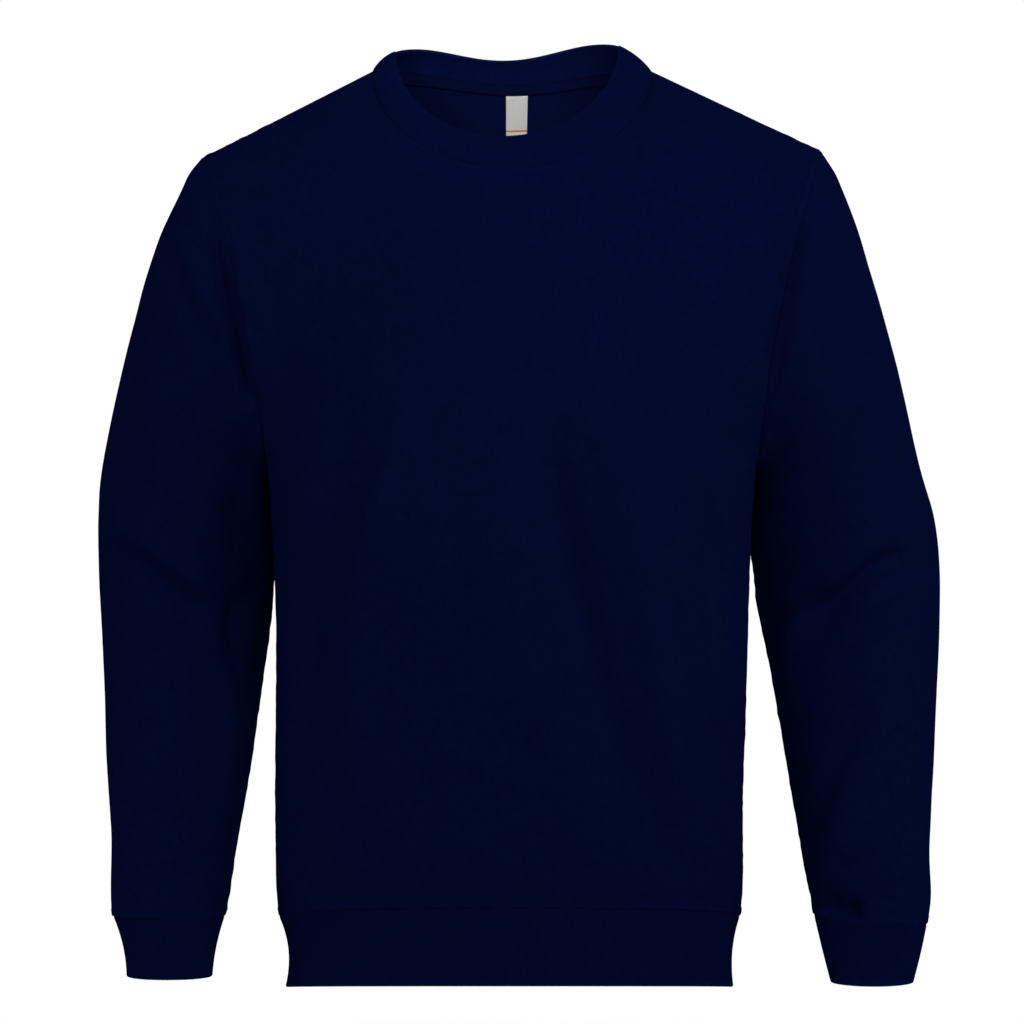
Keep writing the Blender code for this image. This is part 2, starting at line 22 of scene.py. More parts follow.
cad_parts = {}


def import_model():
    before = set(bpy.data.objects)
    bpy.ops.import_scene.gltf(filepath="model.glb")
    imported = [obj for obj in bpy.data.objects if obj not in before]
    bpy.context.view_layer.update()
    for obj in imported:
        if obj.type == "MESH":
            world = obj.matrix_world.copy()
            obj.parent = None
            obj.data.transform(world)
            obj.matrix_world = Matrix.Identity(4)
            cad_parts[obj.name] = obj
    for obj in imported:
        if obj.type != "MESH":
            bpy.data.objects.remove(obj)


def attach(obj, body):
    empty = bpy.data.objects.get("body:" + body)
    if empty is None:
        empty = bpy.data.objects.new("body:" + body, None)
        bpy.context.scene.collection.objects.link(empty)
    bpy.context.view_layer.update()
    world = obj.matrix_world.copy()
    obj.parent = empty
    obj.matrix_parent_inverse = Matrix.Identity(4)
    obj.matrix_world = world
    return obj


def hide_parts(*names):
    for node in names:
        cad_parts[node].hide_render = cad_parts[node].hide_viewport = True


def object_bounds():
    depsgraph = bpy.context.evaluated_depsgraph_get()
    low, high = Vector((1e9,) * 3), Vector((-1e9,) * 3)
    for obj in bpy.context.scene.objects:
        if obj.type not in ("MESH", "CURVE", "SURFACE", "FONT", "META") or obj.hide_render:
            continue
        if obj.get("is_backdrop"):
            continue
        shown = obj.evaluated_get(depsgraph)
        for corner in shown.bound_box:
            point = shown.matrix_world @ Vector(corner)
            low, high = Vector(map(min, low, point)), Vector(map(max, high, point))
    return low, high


log = logging.getLogger("sweatshirt")

METRES = 0.001  # one millimetre
BODY = "root"
Array = np.ndarray

# Thickness of each cloth
FLEECE = 2.0
RIB_CLOTH = 3.0  # folded, so two layers
TAPE_CLOTH = 1.0
LABEL_CLOTH = 0.6

# Sewing
SEAM_GAP = 0.02  # left between two pieces at their seam
LAID_GAP = 0.3  # left under the tape
MITRE_LEAST = 0.7  # keeps sharp seams from being mitred too far
SEAM_SMOOTHING = 2  # passes that ease the normals along the seams
TWIN_ROWS = (1.7, 6.2)  # distance of two rows of stitches from their seam

# Wear, and painted light on the inner faces where shade falls, as a share of the paler
# wear-and-fill colour
INSIDE_PAINTED_FILL = 1.1  # painted light on the brushed inner face, which lies in shade
INSIDE_RIB_PAINTED_FILL = 1.45  # painted light on the inner face of a rib band, which lies in shade
FOLD_WORN = 0.45  # the folded edge of a rib band
INSIDE_GROOVE_SHADE = 0.4  # how much of the painted shade of the grooves shows on that inner face

NOISE_REACH = 1.6  # brings noise to about -1 to 1
EXACT = 1e-9  # allowance where places that should be equal are compared
TINY = 1e-12  # keeps lengths of 0 out of divisions

# Shoulders, armholes and neck
NECK_POINT = (109.0, 4.0, 19.0)  # of the wearer's left
ARMPIT = (190.0, -12.0, -290.0)
ROUNDNESS = 2.3  # power of the body's sections, where 2 is an ellipse
EASE_UP = 1.25  # how the columns lean in on the way up to the shoulder
YOKE_SOFTENING = 6  # passes that ease the corner at the neck point, on a row of 24 cells
YOKE_SHARPENING = 5  # power with which that corner comes back towards the seam
SHOULDER_SHARE = 0.5  # where the neck point lies between the middle and the side
CURL = (90.0, 66.0, 58.0)  # degrees curved over at the shoulder tip, neck point and mid neck
FORM_CELLS = 24  # cells across a panel in the solids

# Camera: level with the garment's middle, and far enough off to flatten it
EYE_DISTANCE = 4000.0
EYE_HEIGHT = -325.3
VIEW_WIDTH = 798.7
SENSOR = 36.0


class Side(Enum):
    """Front or back of a piece, as its direction along Y."""

    FRONT = -1
    BACK = 1


class Hand(Enum):
    """The wearer's right or left, as its direction along X."""

    RIGHT = -1
    LEFT = 1


SHOULDER_TIPS = {Hand.RIGHT: (-240.5, 0.0, -48.5), Hand.LEFT: (240.5, 0.0, -43.5)}
ARMHOLE_DEPTH = {Side.FRONT: 62.0, Side.BACK: 68.0}
ARMHOLE_SCOOP = {Side.FRONT: 7.5, Side.BACK: 5.0}


class NeckLoop(NamedTuple):
    """One loop round the neck, by its points at the side, front and back."""

    name: str
    half_width: float
    side_y: float
    side_z: float
    front_y: float
    front_z: float
    back_y: float
    back_z: float
    hump: float  # rise between the side and the middle of the back
    side_drop: float = 0.0  # how far it sinks at its two side points


NECK_SEAM = NeckLoop("seam", 109.0, 4.0, 19.0, -95.0, -63.0, 78.0, 15.0, 6.0)
NECK_MIDDLE = NeckLoop("middle", 99.5, 3.5, 29.5, -87.5, -49.0, 72.0, 24.5, 6.5)
NECK_TOP = NeckLoop("top", 87.0, 3.0, 39.6, -74.0, -36.5, 65.0, 33.2, 6.5, 2.6)
NECK_SWAY = -4.0  # how far the neckband's upper edge sits off the middle
NECK_TILT = 2.3  # how much higher that edge is on the wearer's left
NECK_DROP_REACH = 0.22  # how far a side drop reaches, as a share of the way to the middle


class TorsoSection(NamedTuple):
    """One level section of the body."""

    name: str
    z: float
    middle_x: float
    half_width: float
    front: float
    back: float
    middle_y: float
    front_rise: float  # how much higher it lies at the middle of the front


TORSO = (
    TorsoSection("hem_seam", -641, -2.0, 179.5, 101, 94, 0, 14),
    TorsoSection("over_hem", -612, -2.0, 182.0, 108, 100, -1, 12),
    TorsoSection("hip", -560, -2.0, 182.0, 112, 104, -2, 8),
    TorsoSection("waist", -480, -1.0, 183.3, 116, 108, -4, 4),
    TorsoSection("midriff", -400, 0.0, 184.0, 121, 117, -7, 1),
    TorsoSection("under_chest", -340, 0.0, 186.0, 126, 128, -10, 0),
    TorsoSection("chest", ARMPIT[2], 0.0, ARMPIT[0], 123, 135, ARMPIT[1], 0),
)
HEM_BAND = (
    TorsoSection("hem", -695.5, -2.0, 174.6, 97, 90, 0, 9),
    TorsoSection("pinch", -664, -1.2, 173.4, 97, 90, 0, 12),
)


class SleeveSection(NamedTuple):
    """One ring of a sleeve, between its outer point and its inner point."""

    name: str
    outer_x: float
    outer_y: float
    outer_z: float
    inner_x: float
    inner_y: float
    inner_z: float
    half_depth: float


def sleeve_sections(*rows: tuple) -> tuple[SleeveSection, ...]:
    """Rings of a sleeve or cuff from rows of their values."""
    return tuple(SleeveSection(*row) for row in rows)


SLEEVES = {
    Hand.RIGHT: sleeve_sections(
        ("cap", -254, 1, -66, -189.3, -9, -293, 66),
        ("cap_middle", -278, 6, -119, -188.8, 5, -300, 69),
        ("underarm", -298.5, 15, -190, -188, 22, -314, 70),
        ("biceps", -320.5, 33, -283, -185.5, 34, -348, 68),
        ("over_elbow", -325.5, 40, -330, -187, 40, -374, 67),
        ("elbow", -325, 43, -380, -189.5, 43, -405, 64),
        ("under_elbow", -322, 36, -440, -196, 36, -458, 60),
        ("forearm", -317.5, 21, -512, -204.5, 21, -523, 56),
        ("low_forearm", -313, 4, -578, -214, 4, -584, 50),
        ("over_cuff", -312.5, -10, -618, -219, -10, -621, 45),
        ("cuff_seam", -309.5, -18, -639, -223, -18, -639, 41),
    ),
    Hand.LEFT: sleeve_sections(
        ("cap", 254, 1, -66, 189.3, -9, -293, 66),
        ("cap_middle", 273.5, 6, -117, 188.8, 5, -300, 69),
        ("underarm", 295, 15, -188, 188, 22, -314, 70),
        ("biceps", 320, 33, -286, 186.5, 34, -348, 69),
        ("over_elbow", 333, 40, -332, 190, 40, -374, 70),
        ("elbow", 337, 43, -378, 193.5, 43, -402, 68),
        ("under_elbow", 335.5, 36, -452, 205, 36, -460, 64),
        ("forearm", 330.5, 21, -520, 215, 21, -527, 58),
        ("low_forearm", 326, 4, -582, 225, 4, -587, 51),
        ("over_cuff", 326, -10, -622, 232, -10, -623, 45),
        ("cuff_seam", 322, -18, -645, 234.5, -18, -638, 42),
    ),
}
CUFFS = {
    Hand.RIGHT: sleeve_sections(
        ("pinch", -301.2, -22, -664, -229.6, -22, -664, 33.5),
        ("mouth", -298.5, -28, -685, -232, -28, -685, 31),
    ),
    Hand.LEFT: sleeve_sections(
        ("pinch", 316.6, -22, -669, 241.2, -22, -667, 33.5),
        ("mouth", 310.6, -28, -690, 247, -28, -690, 31),
    ),
}


class Fold(NamedTuple):
    """A large fold of one piece, as the solids have it: a straight line seen from in front."""

    name: str
    piece: str
    side: Side
    x0: float
    z0: float
    x1: float
    z1: float
    half_width: float
    height: float


FOLDS = (
    Fold("left_drape", "back", Side.BACK, 112, -190, 150, -600, 22, -6),
    Fold("left_ridge", "back", Side.BACK, 62, -240, 84, -600, 24, 5),
    Fold("right_drape", "back", Side.BACK, -96, -230, -132, -610, 22, -6),
    Fold("right_ridge", "back", Side.BACK, -50, -330, -74, -600, 24, 4),
    Fold("waist_sag", "back", Side.BACK, -90, -500, 80, -478, 26, -5),
    Fold("right_inner_dip", "sleeve_right", Side.FRONT, -214, -330, -206, -470, 16, -7),
    Fold("right_forearm_sag", "sleeve_right", Side.FRONT, -290, -556, -250, -566, 16, -4),
    Fold("right_back_elbow", "sleeve_right", Side.BACK, -300, -400, -230, -372, 18, 6),
    Fold("right_back_crease", "sleeve_right", Side.BACK, -300, -430, -230, -400, 16, -6),
    Fold("left_inner_dip", "sleeve_left", Side.FRONT, 206, -280, 205, -370, 14, -2),
    Fold("left_side_fold", "sleeve_left", Side.FRONT, 316, -380, 304, -418, 14, 5),
    Fold("left_cuff_bag", "sleeve_left", Side.FRONT, 250, -628, 290, -640, 14, -4),
    Fold("left_back_elbow", "sleeve_left", Side.BACK, 312, -404, 240, -378, 18, 6),
    Fold("left_back_crease", "sleeve_left", Side.BACK, 312, -436, 244, -408, 16, -6),
)


class Crease(NamedTuple):
    """A soft ridge or trough along a curve, as the eye in front sees it.

    Its height is above 0 for a ridge and below 0 for a trough. Its lean is above 0 where the
    side to the left of its run is the steeper one, and below 0 for the right one.
    """

    name: str
    pieces: tuple[str, ...]
    side: Side
    half_width: float
    height: float
    lean: float
    path: tuple[tuple[float, float], ...]


def creases(pieces: tuple[str, ...], side: Side, *rows: tuple) -> tuple[Crease, ...]:
    """Creases on one side of the same pieces.

    Args:
        pieces: the pieces that they cross.
        side: front or back.
        rows: for each its name, half width, height and lean, then the points of its path.

    Returns:
        The creases in the order of their rows.
    """
    return tuple(
        Crease(name, pieces, side, half_width, height, lean, tuple(path))
        for name, half_width, height, lean, *path in rows
    )


CREASES = (
    *creases(
        ("sleeve_right",), Side.FRONT,
        ("cap_roll", 10, 3.4, 0.2, (-265, -96), (-250, -137), (-236, -171), (-219, -202)),
        ("cap_groove", 9, -5.2, 0, (-268, -113), (-259, -149), (-245, -178), (-229, -205)),
        ("seam_wedge", 11, -4, 0.2,
         (-240, -84), (-232, -130), (-224, -176), (-217, -216), (-214, -256)),
        ("seam_tuck", 6, -8.5, -0.2,
         (-233, -106), (-224, -150), (-215, -187), (-207, -219), (-200, -250)),
        ("outer_fall", 12, -2.7, -0.13, (-300, -251), (-292, -290), (-278, -329)),
        ("elbow_roll", 9, 5.2, -0.2,
         (-322, -330), (-304, -339), (-286, -350), (-265, -366), (-245, -382), (-224, -402)),
        ("elbow_fall", 10.5, -4.8, 0,
         (-322, -350), (-300, -361), (-275, -379), (-255, -396), (-234, -416)),
        ("crook_lobe", 8, -5, 0, (-240, -346), (-230, -371), (-226, -404)),
        ("inner_band", 10, -7, 0.3,
         (-207, -267), (-210, -314), (-211, -361), (-210, -423), (-211, -470)),
        ("inner_roll", 8, 4.5, 0.3, (-218, -428), (-216, -480), (-219, -540), (-224, -596)),
        ("inner_crumple", 7, -7, 0.28,
         (-215, -313), (-202, -350), (-194, -383), (-205, -411), (-196, -439)),
        ("forearm_pull", 13, -1.8, 0, (-246, -434), (-239, -489), (-240, -551)),
        ("wrist_cross_high", 8, 3, 0.2, (-292, -572), (-267, -578), (-245, -577)),
        ("wrist_cross_mid", 8, 3, 0.2, (-287, -599), (-263, -594), (-237, -597)),
    ),
    *creases(
        ("sleeve_left",), Side.FRONT,
        ("cap_rise", 18, 2.6, 0.3, (246, -93), (237, -147), (228, -202), (221, -256)),
        ("over_elbow", 16, -1.6, 0.3, (227, -278), (238, -316), (227, -360)),
        ("elbow_over_roll", 8, 2.6, -0.2,
         (312, -343), (293, -345), (271, -357), (250, -374), (232, -389)),
        ("elbow_fall", 8.5, -7, -0.35,
         (317, -360), (299, -362), (283, -369), (261, -386), (246, -398), (224, -410)),
        ("elbow_line", 3.8, -3.2, 0,
         (312, -354), (299, -356), (285, -363), (263, -380), (248, -391), (228, -401), (218, -409)),
        ("elbow_roll", 11, 4.2, -0.4,
         (316, -378), (296, -382), (272, -396), (254, -410), (238, -425)),
        ("hook", 6.5, -5.5, 0.2, (216, -400), (206, -410), (200, -424), (198, -440), (200, -458)),
        ("hook_knuckle", 8, 4.5, -0.3, (229, -405), (216, -424), (213, -450), (218, -480)),
        ("side_fold", 6, -3, 0, (315, -362), (311, -390), (302, -420)),
        ("slant", 9, -3.5, 0, (276, -474), (263, -503), (246, -532), (234, -556), (224, -598)),
        ("slant_roll", 11, 3.8, -0.3,
         (296, -474), (284, -503), (268, -532), (256, -556), (245, -600)),
        ("wrist_smear", 5, -4.2, -0.2, (245, -603), (264, -599), (287, -597)),
        ("wrist_smear_low", 8, -2.4, 0, (272, -623), (285, -623), (299, -616)),
        ("cuff_dent", 9.5, -8, 0, (242, -628), (256, -636), (275, -641)),
    ),
    *creases(
        ("front",), Side.FRONT,
        ("left_valley", 15.5, -9.2, 0.16,
         (23, -214), (31, -267), (43, -337), (59, -408), (73, -470), (91, -532), (112, -604)),
        ("left_ridge", 14.5, 10.6, 0,
         (60, -198), (74, -268), (92, -346), (106, -409), (117, -471), (128, -533), (144, -608)),
        ("left_side_valley", 11.6, -6.6, 0.3,
         (134, -266), (156, -344), (162, -414), (170, -485), (176, -563)),
        ("middle_ridge", 17.9, 3.4, 0.31,
         (-3, -269), (-5, -339), (0, -410), (18, -472), (44, -534), (74, -603)),
        ("right_ridge", 13.5, 9.2, -0.1,
         (-79, -208), (-90, -274), (-109, -344), (-121, -407), (-126, -469), (-129, -547)),
        ("right_valley", 16, -9.6, -0.2,
         (-125, -200), (-134, -269), (-151, -347), (-164, -410), (-168, -472), (-170, -550)),
        ("right_faint", 12.5, -2.8, 0.27, (-151, -201), (-157, -226), (-163, -255)),
        ("middle_sag", 19, -1.3, 0.18, (-42, -261), (-54, -316), (-62, -371)),
        ("left_chest_pull", 14.2, -1, 0, (202, -201), (173, -191), (140, -197)),
        ("right_arm_pull", 13, -1.5, 0, (-185, -248), (-163, -274), (-149, -312)),
        ("left_arm_pull", 7.3, -1.7, -0.33, (194, -252), (177, -275), (166, -311)),
    ),
    *creases(
        ("back",), Side.BACK,
        ("yoke_sag", 24, -2.6, 0, (-120, -96), (-40, -120), (40, -122), (118, -92)),
        ("right_pull", 11, -2.6, 0, (-186, -206), (-150, -176), (-104, -166)),
        ("left_pull", 11, -2.4, 0, (187, -214), (152, -182), (110, -170)),
        ("left_fall", 13, -3, 0.3, (104, -206), (128, -320), (140, -470), (152, -610)),
        ("right_fall", 13, -3, -0.3, (-92, -240), (-112, -380), (-126, -500), (-134, -616)),
        ("middle_roll", 20, 2.6, 0, (-8, -330), (4, -450), (-6, -600)),
        ("waist", 12, -2.6, 0, (-110, -504), (-30, -486), (60, -490), (112, -508)),
        ("waist_roll", 12, 2.2, 0, (-96, -532), (-20, -516), (70, -520)),
        ("right_arm", 9, -3, 0, (-184, -270), (-158, -310), (-150, -352)),
        ("left_arm", 9, -3, 0, (185, -272), (160, -314), (154, -362)),
    ),
    *creases(
        ("sleeve_right",), Side.BACK,
        ("cap", 10, -4, 0, (-214, -110), (-206, -170), (-204, -232)),
        ("biceps", 11, -3, 0, (-300, -236), (-262, -270), (-222, -300)),
        ("elbow_high", 11, -2.6, 0, (-312, -330), (-270, -352), (-218, -338)),
        ("elbow_roll", 11, 1.4, 0, (-308, -372), (-268, -384), (-222, -366)),
        ("elbow_low", 10, -2.6, 0, (-306, -424), (-262, -420), (-222, -398)),
        ("forearm", 10, -2.6, 0, (-292, -470), (-272, -520), (-268, -570)),
        ("wrist", 6, 2, 0, (-292, -604), (-268, -598), (-244, -604)),
    ),
    *creases(
        ("sleeve_left",), Side.BACK,
        ("cap", 10, -4, 0, (216, -108), (208, -172), (206, -236)),
        ("biceps", 11, -2.8, 0, (302, -230), (264, -262), (226, -296)),
        ("elbow_high", 11, -2.4, 0, (318, -338), (276, -362), (224, -350)),
        ("elbow_roll", 11, 1, 0, (316, -382), (276, -394), (228, -376)),
        ("elbow_low", 10, -2.6, 0, (314, -434), (272, -430), (230, -406)),
        ("forearm", 10, -2.6, 0, (302, -476), (284, -524), (282, -576)),
        ("wrist", 6, 2, 0, (306, -606), (282, -600), (256, -607)),
    ),
    *creases(
        ("front", "sleeve_right"), Side.FRONT,
        ("right_pit_high", 11.6, -2, -0.11, (-223, -279), (-197, -259), (-171, -233)),
        ("right_seam_puff", 7.5, 7, -0.35, (-223, -92), (-210, -148), (-200, -200), (-192, -250)),
    ),
    *creases(
        ("front", "sleeve_left"), Side.FRONT,
        ("left_seam_valley", 9.5, -5.5, 0.3, (228, -77), (217, -133), (209, -189), (201, -243)),
        ("left_pit_high", 11.4, -2.1, 0, (220, -273), (194, -253), (168, -227)),
    ),
    *creases(
        ("back", "sleeve_right"), Side.BACK,
        ("right_pit_back", 9, -3.4, 0, (-224, -284), (-196, -262), (-160, -240)),
    ),
    *creases(
        ("back", "sleeve_left"), Side.BACK,
        ("left_pit_back", 9, -3.4, 0, (226, -280), (196, -258), (160, -238)),
    ),
)


def power(value: Array, exponent: float) -> Array:
    """A power that keeps the sign, for rounded rectangles."""
    return np.sign(value) * np.abs(value) ** exponent


def unit(vectors: Array) -> Array:
    """Vectors at length one."""
    return vectors / np.maximum(np.linalg.norm(vectors, axis=-1, keepdims=True), TINY)


def smoothstep(value: Array, low: float, high: float) -> Array:
    """0 below low, 1 above high, and an even ease between them."""
    t = np.clip((value - low) / (high - low), 0, 1)
    return t * t * (3 - 2 * t)


def cubic(a: Array, b: Array, leave: Array, arrive: Array, t: Array) -> Array:
    """Places on a smooth run from a to b.

    Args:
        a: its start.
        b: its end.
        leave: its slope at a.
        arrive: its slope at b.
        t: how far along it, from 0 to 1.

    Returns:
        The place at each t.
    """
    return (
        (2 * t**3 - 3 * t**2 + 1) * a
        + (t**3 - 2 * t**2 + t) * leave
        + (3 * t**2 - 2 * t**3) * b
        + (t**3 - t**2) * arrive
    )


def softened(values: Array, passes: int) -> Array:
    """Values in order, with their corners eased and both ends held."""
    for _ in range(passes):
        values[1:-1] = (values[:-2] + 2 * values[1:-1] + values[2:]) / 4
    return values


def values_of(table: tuple) -> Array:
    """The numbers in a table of sections, without the sections' names."""
    return np.array([row[1:] for row in table], float)


def eased(table: tuple, positions: Array) -> Array:
    """Sections eased through a table.

    Args:
        table: rows of named numbers, the first of which is the row's name.
        positions: places in the table, counted in rows.

    Returns:
        One row of values for each place.
    """
    values = values_of(table)
    at = np.clip(np.floor(positions).astype(int), 0, len(table) - 2)
    t = (positions - at)[:, None]
    before, after = values[np.maximum(at - 1, 0)], values[np.minimum(at + 2, len(table) - 1)]
    a, b = values[at], values[at + 1]
    return cubic(a, b, (b - before) / 2, (after - a) / 2, t)


def curve_through(points: Array, per_span: int) -> Array:
    """A smooth curve through points.

    Args:
        points: the points, in order.
        per_span: how many short runs lead from each to the next.

    Returns:
        The curve's points, the first and last of which are those given.
    """
    ends = np.concatenate([points[:1] * 2 - points[1:2], points, points[-1:] * 2 - points[-2:-1]])
    steps = np.arange(per_span)[:, None] / per_span
    spans = zip(ends, ends[1:], ends[2:], ends[3:])
    runs = [cubic(a, b, (b - before) / 2, (after - a) / 2, steps) for before, a, b, after in spans]
    return np.concatenate([*runs, points[-1:]])


def run_along(points: Array) -> Array:
    """Distance run along a line of points, from its first point."""
    steps = np.linalg.norm(np.diff(points, axis=0), axis=1)
    return np.concatenate([[0], np.cumsum(steps)])


def values_along(values: Array, run: Array, places: Array) -> Array:
    """Points or normals between those of a line, at places along its run."""
    return np.stack([np.interp(places, run, values[:, k]) for k in range(3)], axis=-1)


def between_neck_points(u: Array) -> Array:
    """Which columns of a panel end at the neck."""
    return np.abs(u) <= SHOULDER_SHARE + EXACT


def lengths_along(grid: Array, axis: int) -> Array:
    """Distance run along a grid's rows (axis 0) or columns (axis 1), from its first point."""
    steps = np.linalg.norm(np.diff(grid, axis=axis), axis=-1)
    start = np.zeros_like(steps.take([0], axis=axis))
    return np.concatenate([start, np.cumsum(steps, axis=axis)], axis=axis)


@dataclass
class Form:
    """The garment's worn form: its sections and edges, at any fineness.

    Across a panel, u runs from -1 at the wearer's right side to 1 at the left. Up its yoke,
    share runs from 0 at the armpit to 1 at the shoulder.
    """

    softening_cells: int = 8  # finer cells in each of the solids' cells, where corners are eased
    curl_cells: int = 96  # the same between the middle and the side, where the curl is eased
    curl_softening: int = 60

    def torso_rows(self, sections: Array, side: Side, angles: Array) -> Array:
        """Half sections of the body, from the wearer's right seam to the left one.

        Args:
            sections: one row of a torso table's values for each grid row.
            side: front or back.
            angles: for each grid row, or for all, the angle of each column.

        Returns:
            Points by row and by column.
        """
        z, middle_x, half_width, front, back, middle_y, rise = sections.T[..., None]
        depth = front if side is Side.FRONT else back
        across = power(np.cos(angles), 2 / ROUNDNESS)
        out = power(np.sin(angles), 2 / ROUNDNESS)
        lift = rise * out if side is Side.FRONT else 0 * out
        return np.stack(
            [middle_x + half_width * across, middle_y + side.value * depth * out, z + lift], axis=-1
        )

    def neck_points(self, loop: NeckLoop, angles: Array) -> Array:
        """Points on a loop round the neck.

        Args:
            loop: the loop.
            angles: 0 at the middle of the front and pi at the middle of the back.

        Returns:
            One point for each angle.
        """
        front = np.cos(angles) > 0
        y = np.where(front, loop.front_y, loop.back_y)
        z = np.where(front, loop.front_z, loop.back_z)
        hump = np.where(front, 0, loop.hump * np.sin(2 * angles) ** 2)
        to_middle = np.abs(np.cos(angles))
        drop = loop.side_drop * np.exp(-((to_middle / NECK_DROP_REACH) ** 2))
        return np.stack(
            [
                loop.half_width * np.sin(angles),
                loop.side_y + (y - loop.side_y) * to_middle,
                loop.side_z + (z - loop.side_z) * to_middle + hump - drop,
            ],
            axis=-1,
        )

    def neck_half(self, loop: NeckLoop, side: Side, u: Array) -> Array:
        """Half of a neck loop over the front or back, at the columns inside the neck points."""
        turn = u / SHOULDER_SHARE * math.pi / 2
        return self.neck_points(loop, turn if side is Side.FRONT else math.pi - turn)

    def top_edge(self, side: Side, u: Array) -> Array:
        """A panel's upper edge: shoulder seam, neck, shoulder seam.

        Args:
            side: front or back.
            u: columns.

        Returns:
            One point for each column.
        """
        edge = self.neck_half(NECK_SEAM, side, np.clip(u, -SHOULDER_SHARE, SHOULDER_SHARE))
        for hand in Hand:
            on = u * hand.value >= SHOULDER_SHARE
            share = ((1 - np.abs(u[on])) / (1 - SHOULDER_SHARE))[:, None]
            tip = np.array(SHOULDER_TIPS[hand])
            edge[on] = tip + (NECK_POINT * np.array([hand.value, 1, 1]) - tip) * share
        return edge

    def softened_edge(self, side: Side, u: Array) -> Array:
        """The upper edge with its corners eased and its two ends held."""
        even = np.linspace(-1, 1, FORM_CELLS * self.softening_cells + 1)
        passes = YOKE_SOFTENING * self.softening_cells**2
        return values_along(softened(self.top_edge(side, even), passes), even, u)

    def curl(self, u: Array) -> Array:
        """How far each column curves over on its way up, in radians."""
        even = np.linspace(0, 1, self.curl_cells + 1)
        turn = softened(np.interp(even, (0, 1 - SHOULDER_SHARE, 1), CURL), self.curl_softening)
        return np.radians(np.interp(1 - np.abs(u), even, turn))

    def armhole(self, side: Side, hand: Hand, shares: Array) -> Array:
        """One branch of an armhole.

        Args:
            side: front or back.
            hand: the wearer's right or left.
            shares: places on it, from 0 at the armpit to 1 at the shoulder tip.

        Returns:
            One point for each share.
        """
        angle = math.pi * (1 - shares)
        tip, pit = np.array(SHOULDER_TIPS[hand]), ARMPIT * np.array([hand.value, 1, 1])
        edge = (tip + pit) / 2 + np.cos(angle)[:, None] * (tip - pit) / 2
        edge[:, 1] += side.value * ARMHOLE_DEPTH[side] * np.sin(angle)
        edge[:, 0] -= hand.value * ARMHOLE_SCOOP[side] * np.sin(angle) ** 2
        return edge

    def panel(self, side: Side, u: Array, low: Array, shares: Array) -> Array:
        """Outer face of the front or back.

        Args:
            side: front or back.
            u: columns.
            low: rows from the hem to the armpit, as places in the torso table.
            shares: rows above the armpit.

        Returns:
            Points by row from the hem up, and by column from the wearer's right.
        """
        angles = math.pi / 2 * (1 - u)
        rows = list(self.torso_rows(eased(TORSO, low), side, angles[None]))
        chest = np.array(TORSO[-1][1:], float)[None]
        depth = TORSO[-1].front if side is Side.FRONT else TORSO[-1].back
        top, soft, curl = self.top_edge(side, u), self.softened_edge(side, u), self.curl(u)
        ends = {hand: self.armhole(side, hand, shares) for hand in Hand}
        slide = np.abs(ends[Hand.LEFT][:, 1] - TORSO[-1].middle_y) / depth
        slide = np.arcsin(np.clip(np.maximum.accumulate(slide), 0, 1) ** (ROUNDNESS / 2))
        pull = np.cos(math.pi / 2 * (1 - np.abs(u))) ** 2
        for i, share in enumerate(shares):
            leaning = math.pi / 2 - u * (math.pi / 2 - slide[i])
            base = self.torso_rows(chest, side, leaning[None])[0]
            theta = curl * share
            up = (np.sin(theta) / np.sin(curl)) ** (2 / ROUNDNESS)
            over = (1 - np.cos(theta) ** (2 / ROUNDNESS)) / (1 - np.cos(curl) ** (2 / ROUNDNESS))
            goal = soft + (top - soft) * share**YOKE_SHARPENING
            row = base + (goal - base) * np.stack([up**EASE_UP, over, up], axis=-1)
            if share < 1:
                for hand in Hand:
                    on = u * hand.value > 0
                    end = row[-1 if hand is Hand.LEFT else 0]
                    row[on] += (ends[hand][i] - end) * pull[on, None]
            rows.append(row)
        return np.array(rows)

    def rings(self, sections: Array, around: Array) -> Array:
        """Rings of a sleeve or cuff, one for each row of a sleeve table's values."""
        outer, inner, half_depth = sections[:, None, :3], sections[:, None, 3:6], sections[:, 6:]
        angles = math.pi * (1 - around)
        rings = (outer + inner) / 2 + np.cos(angles)[None, :, None] * (outer - inner) / 2
        rings[..., 1] -= half_depth * np.sin(angles)
        return rings

    def sleeve(self, table: tuple, edge: Array, around: Array, near: Array, low: Array) -> Array:
        """Outer face of a sleeve or cuff.

        Args:
            table: its sections, from the one nearest the edge.
            edge: the ring where it is sewn on.
            around: place of each column round the ring, from 1 at the outer point.
            near: rows between the edge and the first section, from 0 up to but not with 1.
            low: rows from the first section on, as places in the table.

        Returns:
            Rings of points, from the edge on.
        """
        rings = self.rings(eased(table, low), around)
        step = self.rings(eased(table, np.array([0.0, 0.5])), around)
        leave, arrive = step[0] - edge, step[1] - step[0]
        return np.concatenate([cubic(edge, step[0], leave, arrive, near[:, None, None]), rings])


def place(point: Array) -> tuple:
    """A key that coincident points of two pieces share."""
    return tuple(np.round(point, 2) + 0.0)


